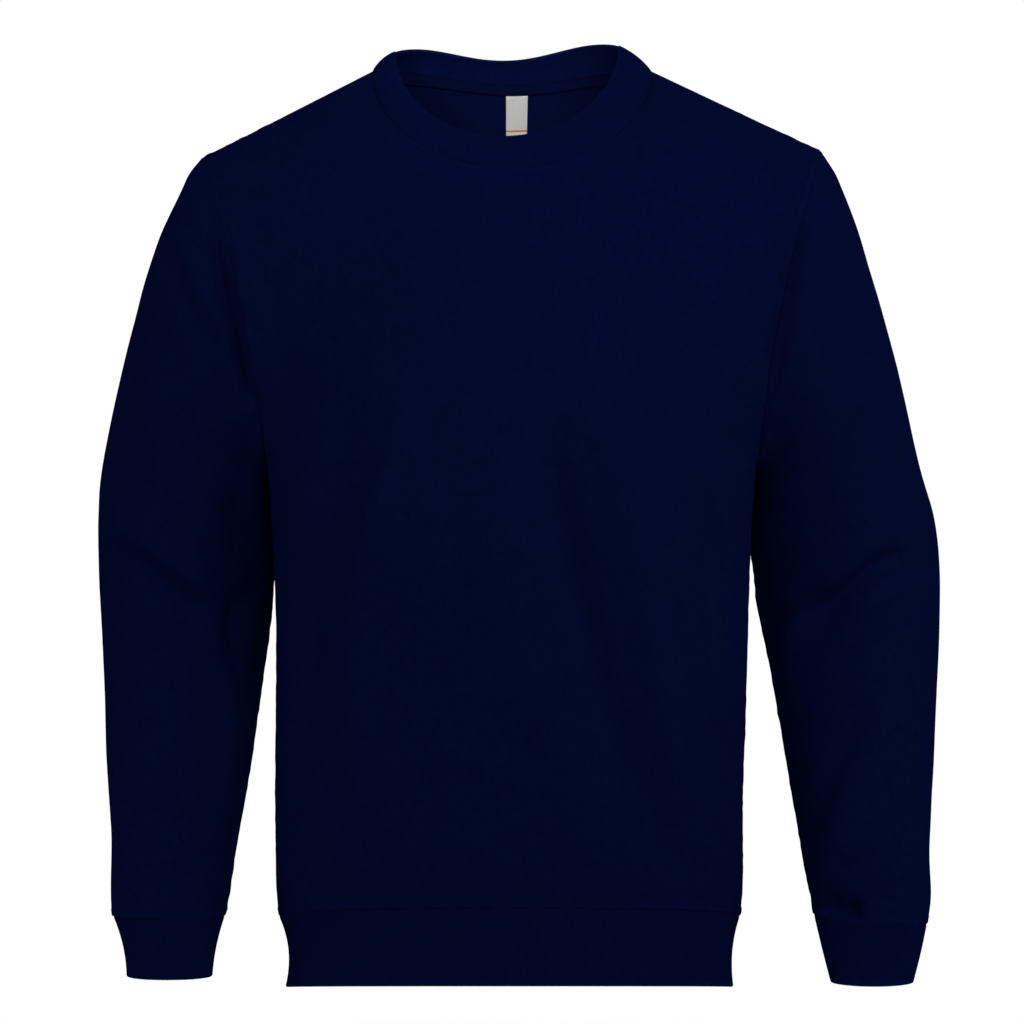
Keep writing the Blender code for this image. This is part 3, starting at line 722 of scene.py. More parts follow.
@dataclass
class Surface:
    """A grid of points: the outer face of one piece of cloth."""

    name: str
    grid: Array
    thickness: float
    closed: bool = False
    turn: int = 1
    normal: Array | None = None  # shared with the neighbours at the seams

    def own_normals(self) -> Array:
        """Summed face normals, of unit length.

        Returns:
            One normal for each point.
        """
        grid = np.concatenate([self.grid, self.grid[:, :1]], axis=1) if self.closed else self.grid
        a, b, c, d = grid[:-1, :-1], grid[:-1, 1:], grid[1:, 1:], grid[1:, :-1]
        face = np.cross(c - a, d - b)
        total = np.zeros_like(grid)
        for rows in (slice(0, -1), slice(1, None)):
            for columns in (slice(0, -1), slice(1, None)):
                total[rows, columns] += face
        if self.closed:
            total[:, 0] += total[:, -1]
            total = total[:, :-1]
        return unit(total * self.turn)

    def edges(self) -> list[tuple[list[tuple[int, int]], int]]:
        """Finds its edges.

        Returns:
            Each loop's grid indices, with 1 if the piece lies to the left of it from outside.
        """
        rows, columns = self.grid.shape[:2]
        high, last = rows - 1, columns - 1
        if self.closed:
            return [
                ([(row, j) for j in range(columns)], hand)
                for row, hand in ((0, self.turn), (high, -self.turn))
            ]
        loop = [(0, j) for j in range(last)] + [(i, last) for i in range(high)]
        loop += [(high, j) for j in range(last, 0, -1)] + [(i, 0) for i in range(high, 0, -1)]
        return [(loop, self.turn)]

    def edge_places(self) -> list[tuple[tuple[int, int], tuple]]:
        """Grid index and place of each point on its edges."""
        return [(index, place(self.grid[index])) for loop, _ in self.edges() for index in loop]


@dataclass
class Sewing:
    """Joins surfaces at their shared edges and gives them their thickness."""

    surfaces: list[Surface]

    def meet(self) -> dict[tuple, Array]:
        """Gives the pieces the normals that they share at their seams.

        Returns:
            The shared normals by place.
        """
        meeting: dict[tuple, dict[str, Array]] = {}
        own = {s.name: s.own_normals() for s in self.surfaces}
        for s in self.surfaces:
            s.normal = own[s.name].copy()
            for index, key in s.edge_places():
                meeting.setdefault(key, {})[s.name] = own[s.name][index]
        shared = {k: unit(sum(n.values())) for k, n in meeting.items() if len(n) > 1}
        for _ in range(SEAM_SMOOTHING):
            shared = self.smoothed(shared)
        for s in self.surfaces:
            for index, key in s.edge_places():
                s.normal[index] = shared.get(key, s.normal[index])
        return shared

    def smoothed(self, shared: dict[tuple, Array]) -> dict[tuple, Array]:
        """Each shared normal averaged with its neighbours along the seams.

        Args:
            shared: the shared normals by place.

        Returns:
            The new ones.
        """
        total = {key: 2 * normal for key, normal in shared.items()}
        for s in self.surfaces:
            for loop, _ in s.edges():
                keys = [place(s.grid[index]) for index in loop]
                for one, two in zip(keys, keys[1:] + keys[:1]):
                    if one in shared and two in shared:
                        total[one] = total[one] + shared[two]
                        total[two] = total[two] + shared[one]
        return {key: unit(normal) for key, normal in total.items()}

    def walls(self) -> dict[str, "Wall"]:
        """Outer and inner grids of each piece, mitred and drawn back at every shared seam.

        Returns:
            Each piece's wall by name.
        """
        shared = self.meet()
        result = {}
        for s in self.surfaces:
            own, back = s.own_normals(), np.zeros_like(s.grid)
            for loop, hand in s.edges():
                seam = [place(s.grid[index]) in shared for index in loop]
                for at, index in enumerate(loop):
                    if not seam[at]:
                        continue
                    after = (at + 1) % len(loop)
                    runs = [(loop[at - 1], index)] * seam[at - 1]
                    runs += [(index, loop[after])] * seam[after]
                    into = [
                        hand * unit(np.cross(s.normal[index], s.grid[b] - s.grid[a]))
                        for a, b in runs
                    ]
                    total = into[0] + into[-1]
                    back[index] = SEAM_GAP / 2 * total / max(1 + into[0] @ into[-1], MITRE_LEAST)
            upright = (s.normal * own).sum(-1, keepdims=True)
            inwards = own + (s.normal - upright * own) / np.maximum(upright, MITRE_LEAST)
            outer = s.grid + back
            result[s.name] = Wall(outer, outer - inwards * s.thickness, s.normal, s.closed)
        return result


@dataclass
class Wall:
    """A piece of cloth with its thickness: outer and inner grids of the same shape."""

    outer: Array
    inner: Array
    normal: Array
    closed: bool

    def sample(self, rows: Array, columns: Array, depth: Array | float = 0.0) -> Array:
        """Points between grid points, on the outer face at depth 0 and the inner one at 1."""
        deep = np.expand_dims(depth, -1)
        outer, inner = (self.mixed(grid, rows, columns) for grid in (self.outer, self.inner))
        return outer * (1 - deep) + inner * deep

    def sample_normal(self, rows: Array, columns: Array) -> Array:
        """Normals between grid points."""
        return unit(self.mixed(self.normal, rows, columns))

    def mixed(self, grid: Array, rows: Array, columns: Array) -> Array:
        """A grid's values between its points.

        Args:
            grid: the grid.
            rows: rows of the places.
            columns: columns of the places.

        Returns:
            The value at each place.
        """
        high, wide = grid.shape[0], grid.shape[1]
        i = np.clip(np.floor(rows).astype(int), 0, high - 2)
        j = np.floor(columns).astype(int)
        j = j % wide if self.closed else np.clip(j, 0, wide - 2)
        k = (j + 1) % wide
        s = (rows - i)[..., None]
        t = (columns - (np.floor(columns) if self.closed else j))[..., None]
        before = grid[i, j] * (1 - t) + grid[i, k] * t
        after = grid[i + 1, j] * (1 - t) + grid[i + 1, k] * t
        return before * (1 - s) + after * s


@dataclass
class Slack:
    """The shallow unevenness of hanging cloth, from noise that is longer down the cloth."""

    across: float = 46.0
    down: float = 120.0
    height: float = 1.1
    fine_share: float = 0.35  # height of a finer noise on top
    fine_scale: float = 2.7
    fine_shift: float = 11.0

    def at(self, points: Array) -> Array:
        """How far the cloth stands out at each point."""
        flat = points.reshape(-1, 3) / (self.across, self.across, self.down)
        fine = flat * self.fine_scale + self.fine_shift
        values = [
            noise.noise(Vector(broad)) + self.fine_share * noise.noise(Vector(small))
            for broad, small in zip(flat, fine)
        ]
        return self.height * np.array(values).reshape(points.shape[:-1])


def noise_along(points: Array, size: float) -> Array:
    """Noise at each point, about -1 to 1, with bumps of the given size."""
    return NOISE_REACH * np.array([noise.noise(Vector(p / size)) for p in points])


def seen_from_eye(points: Array) -> Array:
    """Places across and up, as the eye in front sees them at the garment's middle."""
    scale = EYE_DISTANCE / (EYE_DISTANCE + points[..., 1])
    return np.stack(
        [points[..., 0] * scale, EYE_HEIGHT + (points[..., 2] - EYE_HEIGHT) * scale], axis=-1
    )


@dataclass
class Creasing:
    """Raises the folds and creases of each piece along its normals."""

    slack: Slack = field(default_factory=Slack)
    edge_fade: float = 7.0  # distance from a seam over which creases come up
    band_fade: float = 26.0  # the same for slack, from a rib band or an armhole
    side_fade: float = 3.0  # how soon a crease comes up where the cloth turns to its side
    fold_ends: float = 0.35  # how much shallower a large fold is at its ends
    crease_ends: tuple[float, float] = (-0.04, 0.28)  # share of its run in which a crease rises
    crease_reach: float = 3.0  # half widths beyond which it isn't felt
    uneven_height: float = 0.28
    uneven_turns: float = 7.0  # radians from end to end
    uneven_shift: float = 0.1
    path_fineness: int = 10
    easing_passes: int = 24
    easing_rows: tuple[int, int] = (14, 22)  # rows from the armhole where the easing ends
    easing_gap: tuple[float, float] = (1.3, 2.3)  # how close the rows are that it evens out

    def facing(self, side: Side, normal: Array) -> Array:
        """1 where the cloth faces the front or back, down to 0 where it turns away."""
        return np.clip(normal[..., 1] * side.value * self.side_fade, 0, 1)

    def fold_lift(self, fold: Fold, grid: Array, normal: Array) -> Array:
        """How far one large fold lifts each point, as in the solids.

        Args:
            fold: the fold.
            grid: the points.
            normal: the cloth's normals there.

        Returns:
            The height at each point.
        """
        start = np.array([fold.x0, fold.z0], float)
        run = np.array([fold.x1, fold.z1], float) - start
        away = grid[..., (0, 2)] - start
        nearest = np.clip(away @ run / (run @ run), 0, 1)
        miss = np.linalg.norm(away - nearest[..., None] * run, axis=-1)
        fade = 1 - self.fold_ends * np.abs(2 * nearest - 1)
        section = np.exp(-((miss / fold.half_width) ** 2))
        return fold.height * section * self.facing(fold.side, normal) * fade

    def crease_lift(self, crease: Crease, seen: Array, normal: Array) -> Array:
        """How far one crease lifts each point, uneven along its run and gone at its ends.

        Args:
            crease: the crease.
            seen: the points, as the eye in front sees them.
            normal: the cloth's normals there.

        Returns:
            The height at each point.
        """
        path = curve_through(np.array(crease.path, float), self.path_fineness)
        run = run_along(path)
        flat = seen.reshape(-1, 2)
        reach = self.crease_reach * crease.half_width
        near = np.all((flat > path.min(0) - reach) & (flat < path.max(0) + reach), axis=1)
        near &= (normal[..., 1].reshape(-1) * crease.side.value) > 0
        lift = np.zeros(len(flat))
        if near.any():
            away = flat[near][:, None] - path[None]
            nearest = (away**2).sum(-1).argmin(1)
            offset = away[np.arange(len(nearest)), nearest]
            miss = np.linalg.norm(offset, axis=1)
            ahead = np.gradient(path, axis=0)[nearest]
            left = np.sign(ahead[:, 0] * offset[:, 1] - ahead[:, 1] * offset[:, 0])
            width = crease.half_width * (1 - crease.lean * left)
            t = run[nearest] / run[-1]
            ends = smoothstep(np.minimum(t, 1 - t), *self.crease_ends)
            start = crease.half_width + self.uneven_shift * crease.path[0][0]
            uneven = 1 + self.uneven_height * np.sin(self.uneven_turns * t + start)
            lift[near] = crease.height * np.exp(-((miss / width) ** 2)) * ends * uneven
        return lift.reshape(seen.shape[:-1]) * self.facing(crease.side, normal)

    def lift(self, surface: Surface) -> Array:
        """How far its folds and creases lift a surface.

        Args:
            surface: the surface.

        Returns:
            The height at each point.
        """
        key = surface.name.removesuffix("_panel")
        grid, normal = surface.grid, surface.normal
        along, across = lengths_along(grid, 0), lengths_along(grid, 1)
        from_first, from_last = along, along[-1:] - along
        edge = np.minimum(from_first, from_last)
        if not surface.closed:
            edge = np.minimum(edge, np.minimum(across, across[:, -1:] - across))
        own = sum(self.fold_lift(f, grid, normal) for f in FOLDS if f.piece == key)
        seen = seen_from_eye(grid)
        crossing = np.zeros(grid.shape[:2])
        for crease in (c for c in CREASES if key in c.pieces):
            lift = self.crease_lift(crease, seen, normal)
            if len(crease.pieces) > 1:
                crossing += lift
            else:
                own += lift
        bands = from_last if surface.closed else np.minimum(from_first, from_last)
        return (
            own * smoothstep(edge, 0, self.edge_fade)
            + crossing
            + self.slack.at(grid) * smoothstep(bands, 0, self.band_fade)
        )

    def eased_rows(self, grid: Array) -> Array:
        """Evens out a sleeve's close rows beside its armhole, so that none folds over.

        Args:
            grid: the sleeve's points.

        Returns:
            The new points.
        """
        rows = np.arange(1, len(grid) - 1)[:, None]
        apart = np.linalg.norm(grid[2:] - grid[:-2], axis=-1) / 2
        beside = 1 - smoothstep(rows, *self.easing_rows)
        share = 0.5 * beside * (1 - smoothstep(apart, *self.easing_gap))
        for _ in range(self.easing_passes):
            middle = (grid[:-2] + grid[2:]) / 2
            eased_by = share[..., None] * (middle - grid[1:-1])
            grid = np.concatenate([grid[:1], grid[1:-1] + eased_by, grid[-1:]])
        return grid

    def apply(self, surfaces: list[Surface], bands: list[Surface]) -> None:
        """Lifts every surface, alike on both sides of a seam.

        Args:
            surfaces: the fleece pieces.
            bands: the rib bands, which stay as they are.
        """
        held = {key for band in bands for _, key in band.edge_places()}
        lifts = {s.name: self.lift(s) for s in surfaces}
        meeting: dict[tuple, list[float]] = {}
        for s in surfaces:
            for index, key in s.edge_places():
                meeting.setdefault(key, []).append(lifts[s.name][index])
        for s in surfaces:
            for index, key in s.edge_places():
                lifts[s.name][index] = 0.0 if key in held else float(np.mean(meeting[key]))
            s.grid = s.grid + s.normal * lifts[s.name][..., None]
            if s.closed:
                s.grid = self.eased_rows(s.grid)


def refined(values: Array, cells: int, parts: int, both: bool = False) -> Array:
    """Values in order, with the cells at their end cut into smaller parts.

    Args:
        values: the values.
        cells: how many of the last cells are cut.
        parts: into how many parts each is cut.
        both: whether as many of the first cells are cut too.

    Returns:
        The values with those that were added.
    """
    count = len(values) - 1
    fine = [values[:1]]
    for i in range(count):
        cut = parts if i >= count - cells or (both and i < cells) else 1
        fine.append(np.linspace(values[i], values[i + 1], cut + 1)[1:])
    return np.concatenate(fine)


def through_three(first: Array, middle: Array, last: Array, share: float, v: Array) -> Array:
    """Rings on the smooth curve through three rings.

    Args:
        first: the ring at 0.
        middle: the ring at share.
        last: the ring at 1.
        share: where the middle ring lies.
        v: where the rings lie that are wanted.

    Returns:
        One ring for each value of v.
    """
    t = v[:, None, None]
    return (
        first * (t - share) * (t - 1) / share
        + middle * t * (t - 1) / (share * (share - 1))
        + last * t * (t - share) / (1 - share)
    )


@dataclass
class Garment:
    """All the worn cloth: makes its surfaces, creases them and sews them together."""

    form: Form = field(default_factory=Form)
    creasing: Creasing = field(default_factory=Creasing)
    columns: int = 144
    yoke_rows: int = 62
    row_height: float = 4.6
    ring_steps: int = 11  # rows from one section of a sleeve to the next
    armhole_rows: tuple[float, ...] = (0, 0.04, 0.09, 0.16, 0.26, 0.38, 0.52, 0.68, 0.84)
    band_rows: int = 13
    cuff_pinch: float = 0.54  # where a cuff is narrowest, as a share of its height
    hem_pinch: float = 0.566
    neck_middle: float = 0.5

    def column_places(self) -> Array:
        """Columns of a panel from the wearer's right, closer together near its sides."""
        even = np.linspace(-1, 1, self.columns + 1)
        return refined(even, cells=3, parts=3, both=True)

    def yoke_shares(self) -> Array:
        """Rows of a panel from the armpit up, closer together near its top edge."""
        return refined(np.linspace(0, 1, self.yoke_rows + 1), cells=6, parts=2)

    def low_places(self) -> Array:
        """Rows of a panel from the hem to the armpit, as places in the torso table."""
        counts = [int(abs(b.z - a.z) / self.row_height) + 1 for a, b in zip(TORSO, TORSO[1:])]
        last = len(counts)
        places = np.concatenate([i + np.arange(n) / n for i, n in enumerate(counts)] + [[last]])
        return last - refined(last - places[::-1], cells=3, parts=4)[::-1]

    def pit_row(self) -> int:
        """The panel row at the armpit."""
        return len(self.low_places()) - 1

    def surfaces(self) -> tuple[list[Surface], list[Surface]]:
        """Smooth outer faces of all the pieces, before any crease.

        Returns:
            The fleece pieces and the rib bands.
        """
        u, low, shares = self.column_places(), self.low_places(), self.yoke_shares()
        front = Surface("front_panel", self.form.panel(Side.FRONT, u, low, shares[1:]), FLEECE)
        back_grid = self.form.panel(Side.BACK, u, low, shares[1:])[:, ::-1]
        back = Surface("back_panel", back_grid, FLEECE)

        pit = len(low) - 1
        around = np.concatenate([shares[::-1], -shares[1:-1]])
        holes = {
            Hand.RIGHT: np.concatenate([front.grid[pit:, 0][::-1], back.grid[pit:, -1][1:-1]]),
            Hand.LEFT: np.concatenate([front.grid[pit:, -1][::-1], back.grid[pit:, 0][1:-1]]),
        }
        near = np.array(self.armhole_rows)
        v = np.linspace(0, 1, self.band_rows)
        cloth, bands = [front, back], []
        for hand, table in SLEEVES.items():
            key = hand.name.lower()
            places = np.linspace(0, len(table) - 1, self.ring_steps * (len(table) - 1) + 1)
            places = refined(places, cells=3, parts=3)
            grid = self.form.sleeve(table, holes[hand], around, near, places)
            sleeve = Surface(f"sleeve_{key}", grid, FLEECE, True, hand.value)
            pinch, mouth = self.form.rings(values_of(CUFFS[hand]), around)
            rings = through_three(grid[-1], pinch, mouth, self.cuff_pinch, v)
            rings[0] = grid[-1]
            cloth.append(sleeve)
            bands.append(Surface(f"cuff_{key}", rings, RIB_CLOTH, True, hand.value))
        bands += [self.hem(front.grid[0], back.grid[0], u, v), self.neck(front, back, u, v)]
        return cloth, bands

    def sewn(self) -> dict[str, Wall]:
        """Walls of the sewn garment by piece."""
        cloth, bands = self.surfaces()
        Sewing(cloth + bands).meet()
        self.creasing.apply(cloth, bands)
        return Sewing(cloth + bands).walls()

    def hem(self, front_edge: Array, back_edge: Array, u: Array, v: Array) -> Surface:
        """The hem band's outer face, from its folded edge up to the panels.

        Args:
            front_edge: the front panel's lower edge.
            back_edge: the back panel's lower edge.
            u: columns of the front panel.
            v: rows of the band, from 0 at its folded edge to 1.

        Returns:
            The band's surface.
        """
        angles = math.pi / 2 * (1 - u)[None]
        halves = [self.form.torso_rows(values_of(HEM_BAND), side, angles) for side in Side]
        low, pinch = np.concatenate([halves[0], halves[1][:, ::-1][:, 1:-1]], axis=1)
        seam = np.concatenate([front_edge, back_edge[1:-1]])
        rings = through_three(low, pinch, seam, self.hem_pinch, v)
        rings[-1] = seam
        return Surface("hem_band", rings, RIB_CLOTH, True)

    def neck(self, front: Surface, back: Surface, u: Array, v: Array) -> Surface:
        """The neckband's outer face, from the neck seam up to its folded edge.

        Args:
            front: the front panel.
            back: the back panel.
            u: columns of the front panel.
            v: rows of the band, from 0 at its seam to 1.

        Returns:
            The band's surface.
        """
        inside = between_neck_points(u)
        across = u[inside]
        rings = []
        for loop, share in ((NECK_MIDDLE, self.neck_middle), (NECK_TOP, 1.0)):
            halves = [self.form.neck_half(loop, side, across) for side in Side]
            ring = np.concatenate([halves[0], halves[1][::-1][1:-1]])
            ring[:, 2] += share * NECK_TILT * ring[:, 0] / loop.half_width
            ring[:, 0] += share * NECK_SWAY
            rings.append(ring)
        seam = np.concatenate([front.grid[-1, inside], back.grid[-1, inside[::-1]][1:-1]])
        grid = through_three(seam, rings[0], rings[1], self.neck_middle, v)
        grid[0] = seam
        return Surface("neckband", grid, RIB_CLOTH, True)


def faces_point_in(mesh: Mesh) -> bool:
    """Whether the faces of a closed mesh point inwards."""
    cloth = bmesh.new()
    cloth.from_mesh(mesh)
    volume = cloth.calc_volume(signed=True)
    cloth.free()
    return volume < 0


def cloth_places(grid: Array, closed: bool) -> Array:
    """Where each grid point lies on the flat cloth, in metres across and along it.

    A closed grid gets one more column, which meets the first.
    """
    if closed:
        grid = np.concatenate([grid, grid[:, :1]], axis=1)
    across = lengths_along(grid, 1)
    across = across - across[:, -1:] / 2
    return np.stack([across, lengths_along(grid, 0)], axis=-1) * METRES


def rolled_grid(name: str, places: Array, close_columns: bool, close_rows: bool) -> Object:
    """A flat grid of cloth, rolled into a tube or a ring where it is closed.

    Args:
        name: the new object's name.
        places: the cloth's own coordinates by row and column, kept as its UV map.
        close_columns: whether the last column is joined to the first.
        close_rows: whether the last row is joined to the first.

    Returns:
        The object, whose points run row by row without those that were joined to others.
    """
    rows, columns = places.shape[:2]
    bpy.ops.object.select_all(action="DESELECT")
    bpy.ops.mesh.primitive_grid_add(
        x_subdivisions=columns - 1, y_subdivisions=rows - 1, size=1.0, calc_uvs=True
    )
    obj = bpy.context.object
    obj.name = obj.data.name = name
    corners = np.empty(len(obj.data.loops), int)
    obj.data.loops.foreach_get("vertex_index", corners)
    uv = places.reshape(-1, 2)[corners]
    obj.data.uv_layers[0].data.foreach_set("uv", uv.astype(np.float32).reshape(-1))
    if close_columns or close_rows:
        cloth = bmesh.new()
        cloth.from_mesh(obj.data)
        cloth.verts.ensure_lookup_table()
        joined = {}
        for i in range(rows):
            for j in range(columns):
                to_i = 0 if close_rows and i == rows - 1 else i
                to_j = 0 if close_columns and j == columns - 1 else j
                if (to_i, to_j) != (i, j):
                    joined[cloth.verts[i * columns + j]] = cloth.verts[to_i * columns + to_j]
        bmesh.ops.weld_verts(cloth, targetmap=joined)
        cloth.to_mesh(obj.data)
        cloth.free()
    return obj


def place_points(obj: Object, *grids: Array) -> None:
    """Puts a mesh's points where the grids say, in millimetres, and turns its faces out."""
    points = np.concatenate([grid.reshape(-1, 3) for grid in grids]) * METRES
    obj.data.vertices.foreach_set("co", points.astype(np.float32).reshape(-1))
    if faces_point_in(obj.data):
        obj.data.flip_normals()
    obj.data.shade_smooth()
    obj.data.update()


def note_on_points(obj: Object, name: str, values: Array) -> None:
    """Keeps one number for each point of a mesh, which its material reads."""
    attribute = obj.data.attributes.new(name, "FLOAT", "POINT")
    attribute.data.foreach_set("value", values.astype(np.float32).reshape(-1))


def thickened(
    name: str, outer: Array, inner: Array, closed: bool = False, worn: Array | float = 0.0
) -> Object:
    """A piece of cloth between an outer and an inner grid.

    Args:
        name: the new object's name.
        outer: points of its outer face.
        inner: points of its inner face.
        closed: whether it is a tube.
        worn: how rubbed the outer face is at each point, from 0 to 1.

    Returns:
        The finished piece, with the wear of its outer face and the painted light on its inner face
        noted on its points.
    """
    obj = rolled_grid(name, cloth_places(outer, closed), closed, False)
    wall = obj.modifiers.new("cloth", "SOLIDIFY")
    wall.thickness, wall.offset = FLEECE * METRES, -1.0
    bpy.ops.object.modifier_apply(modifier=wall.name)
    place_points(obj, outer, inner)
    shape = outer.shape[:2]
    # the inner face gets painted light, as it lies in shade
    faces = [np.broadcast_to(worn, shape), np.full(shape, INSIDE_PAINTED_FILL)]
    note_on_points(obj, "worn", np.stack(faces))
    return obj


@dataclass
class SeamRelief:
    """How cloth stands up and dips beside its seams."""

    groove: float = 0.3
    groove_width: float = 0.9
    lap_height: float = 0.4
    lap_rise: tuple[float, float] = (0.3, 1.6)
    lap_fall: tuple[float, float] = (5.6, 8.6)
    pucker_height: float = 0.45
    pucker_size: float = 5.5
    pucker_start: float = 2.0
    pucker_reach: float = 9.0
    rubbed_at: float = 1.5
    rubbed_spread: float = 6.0

    def dip(self, distance: Array) -> Array:
        """The groove where the two cloths are sewn together."""
        return -self.groove * np.exp(-((distance / self.groove_width) ** 2))

    def lap(self, distance: Array) -> Array:
        """The seam allowance pressed flat under the cloth beside the seam."""
        rise, fall = (smoothstep(distance, *ends) for ends in (self.lap_rise, self.lap_fall))
        return self.lap_height * rise * (1 - fall)

    def rubbed(self, distance: Array, most: float) -> Array:
        """How rubbed the cloth is where its lap stands up beside a seam."""
        return most * np.exp(-((distance - self.rubbed_at) ** 2) / self.rubbed_spread)

    def puckers(self, edge: Array, distance: Array, axis: int, scale: float = 1.0) -> Array:
        """Small waves that run out from the seam, the same all the way along each grid line.

        Args:
            edge: points of the seam, one for each grid line that runs out from it.
            distance: distance from the seam of every grid point.
            axis: the axis of the grid that runs along the seam.
            scale: how much larger than usual the waves are, in size, reach and height.

        Returns:
            The height at every grid point.
        """
        waves = noise_along(edge, self.pucker_size * scale)
        waves = waves[None, :] if axis == 1 else waves[:, None]
        reach = self.pucker_reach * scale
        near = smoothstep(distance, 0.0, self.pucker_start) * np.exp(-distance / reach)
        return self.pucker_height * scale * waves * near


class ThreadLine(NamedTuple):
    """A line of sewing on a piece: its points and the cloth's normals there."""

    points: Array
    normals: Array


@dataclass
class Stitching:
    """Rows of raised thread, each stitch a short smooth bead, joined into one mesh."""

    pitch: float = 3.1  # from one stitch to the next
    length: float = 2.5
    width: float = 0.62
    height: float = 0.5
    sunk: float = 0.08
    turned: float = 0.05  # how unevenly the stitches are turned
    strayed: float = 0.06  # how far they stray from their line
    segments: int = 6
    rings: int = 5
    seed: int = 4

    def bead(self) -> tuple[Array, list[tuple[int, ...]]]:
        """Makes one stitch, along X with Z up.

        Returns:
            Its points and faces.
        """
        bpy.ops.object.select_all(action="DESELECT")
        bpy.ops.mesh.primitive_uv_sphere_add(
            segments=self.segments, ring_count=self.rings, radius=0.5, rotation=(0, math.pi / 2, 0)
        )
        obj = bpy.context.object
        bpy.ops.object.transform_apply(location=False, rotation=True, scale=False)
        sizes = (self.length, self.width, self.height)
        points = np.array([v.co for v in obj.data.vertices]) * sizes
        faces = [tuple(f.vertices) for f in obj.data.polygons]
        mesh = obj.data
        bpy.data.objects.remove(obj, do_unlink=True)
        bpy.data.meshes.remove(mesh)
        return points, faces

    def sewn(self, name: str, lines: list[ThreadLine]) -> Object:
        """One mesh of all the stitches along the lines.

        Args:
            name: the new object's name.
            lines: the lines of sewing.

        Returns:
            The object.
        """
        bead, bead_faces = self.bead()
        rng = np.random.default_rng(self.seed)
        points, faces = [], []
        for line in lines:
            run = run_along(line.points)
            places = np.arange(self.pitch / 2, run[-1], self.pitch)
            start, middle, end = (
                values_along(line.points, run, places + shift) for shift in (-0.5, 0.0, 0.5)
            )
            up = unit(values_along(line.normals, run, places))
            ahead = unit(end - start)
            aside = unit(np.cross(up, ahead))
            ahead = unit(ahead + aside * rng.normal(0, self.turned, (len(places), 1)))
            up = np.cross(ahead, aside)
            strayed = aside * rng.normal(0, self.strayed, (len(places), 1))
            centre = middle - up * self.sunk + strayed
            for c, a, s, n in zip(centre, ahead, aside, up):
                before = len(points) * len(bead)
                points.append(c + bead[:, :1] * a + bead[:, 1:2] * s + bead[:, 2:] * n)
                faces += [tuple(before + k for k in face) for face in bead_faces]
        mesh = bpy.data.meshes.new(name)
        mesh.from_pydata((np.concatenate(points) * METRES).tolist(), [], faces)
        mesh.shade_smooth()
        mesh.update()
        obj = bpy.data.objects.new(name, mesh)
        bpy.context.scene.collection.objects.link(obj)
        return obj


@dataclass
class SewnCloth:
    """A fleece piece: its wall with the relief of its seams, and lines to sew on it."""

    wall: Wall
    relief: SeamRelief = field(default_factory=SeamRelief)

    def raise_outer(self, height: Array) -> None:
        """Moves the outer face along its normals."""
        self.wall.outer = self.wall.outer + self.wall.normal * height[..., None]

    def line_beside(self, distance: Array, target: float, axis: int, keep: Array) -> ThreadLine:
        """A sewing line at one distance from a seam.

        Args:
            distance: distance from the seam of every grid point, growing away from it.
            target: how far from the seam the line runs.
            axis: the grid axis along which the line runs: 1 for across the columns.
            keep: which of the grid lines it crosses.

        Returns:
            The line, with one point on each grid line that it crosses.
        """
        size = distance.shape[0] if axis == 1 else distance.shape[1]
        spots = []
        for k in np.flatnonzero(keep):
            run = distance[:, k] if axis == 1 else distance[k, :]
            order = np.argsort(run)
            spots.append(np.interp(target, run[order], np.arange(size)[order]))
        spots, fixed = np.array(spots), np.flatnonzero(keep).astype(float)
        rows, columns = (spots, fixed) if axis == 1 else (fixed, spots)
        return ThreadLine(self.wall.sample(rows, columns), self.wall.sample_normal(rows, columns))


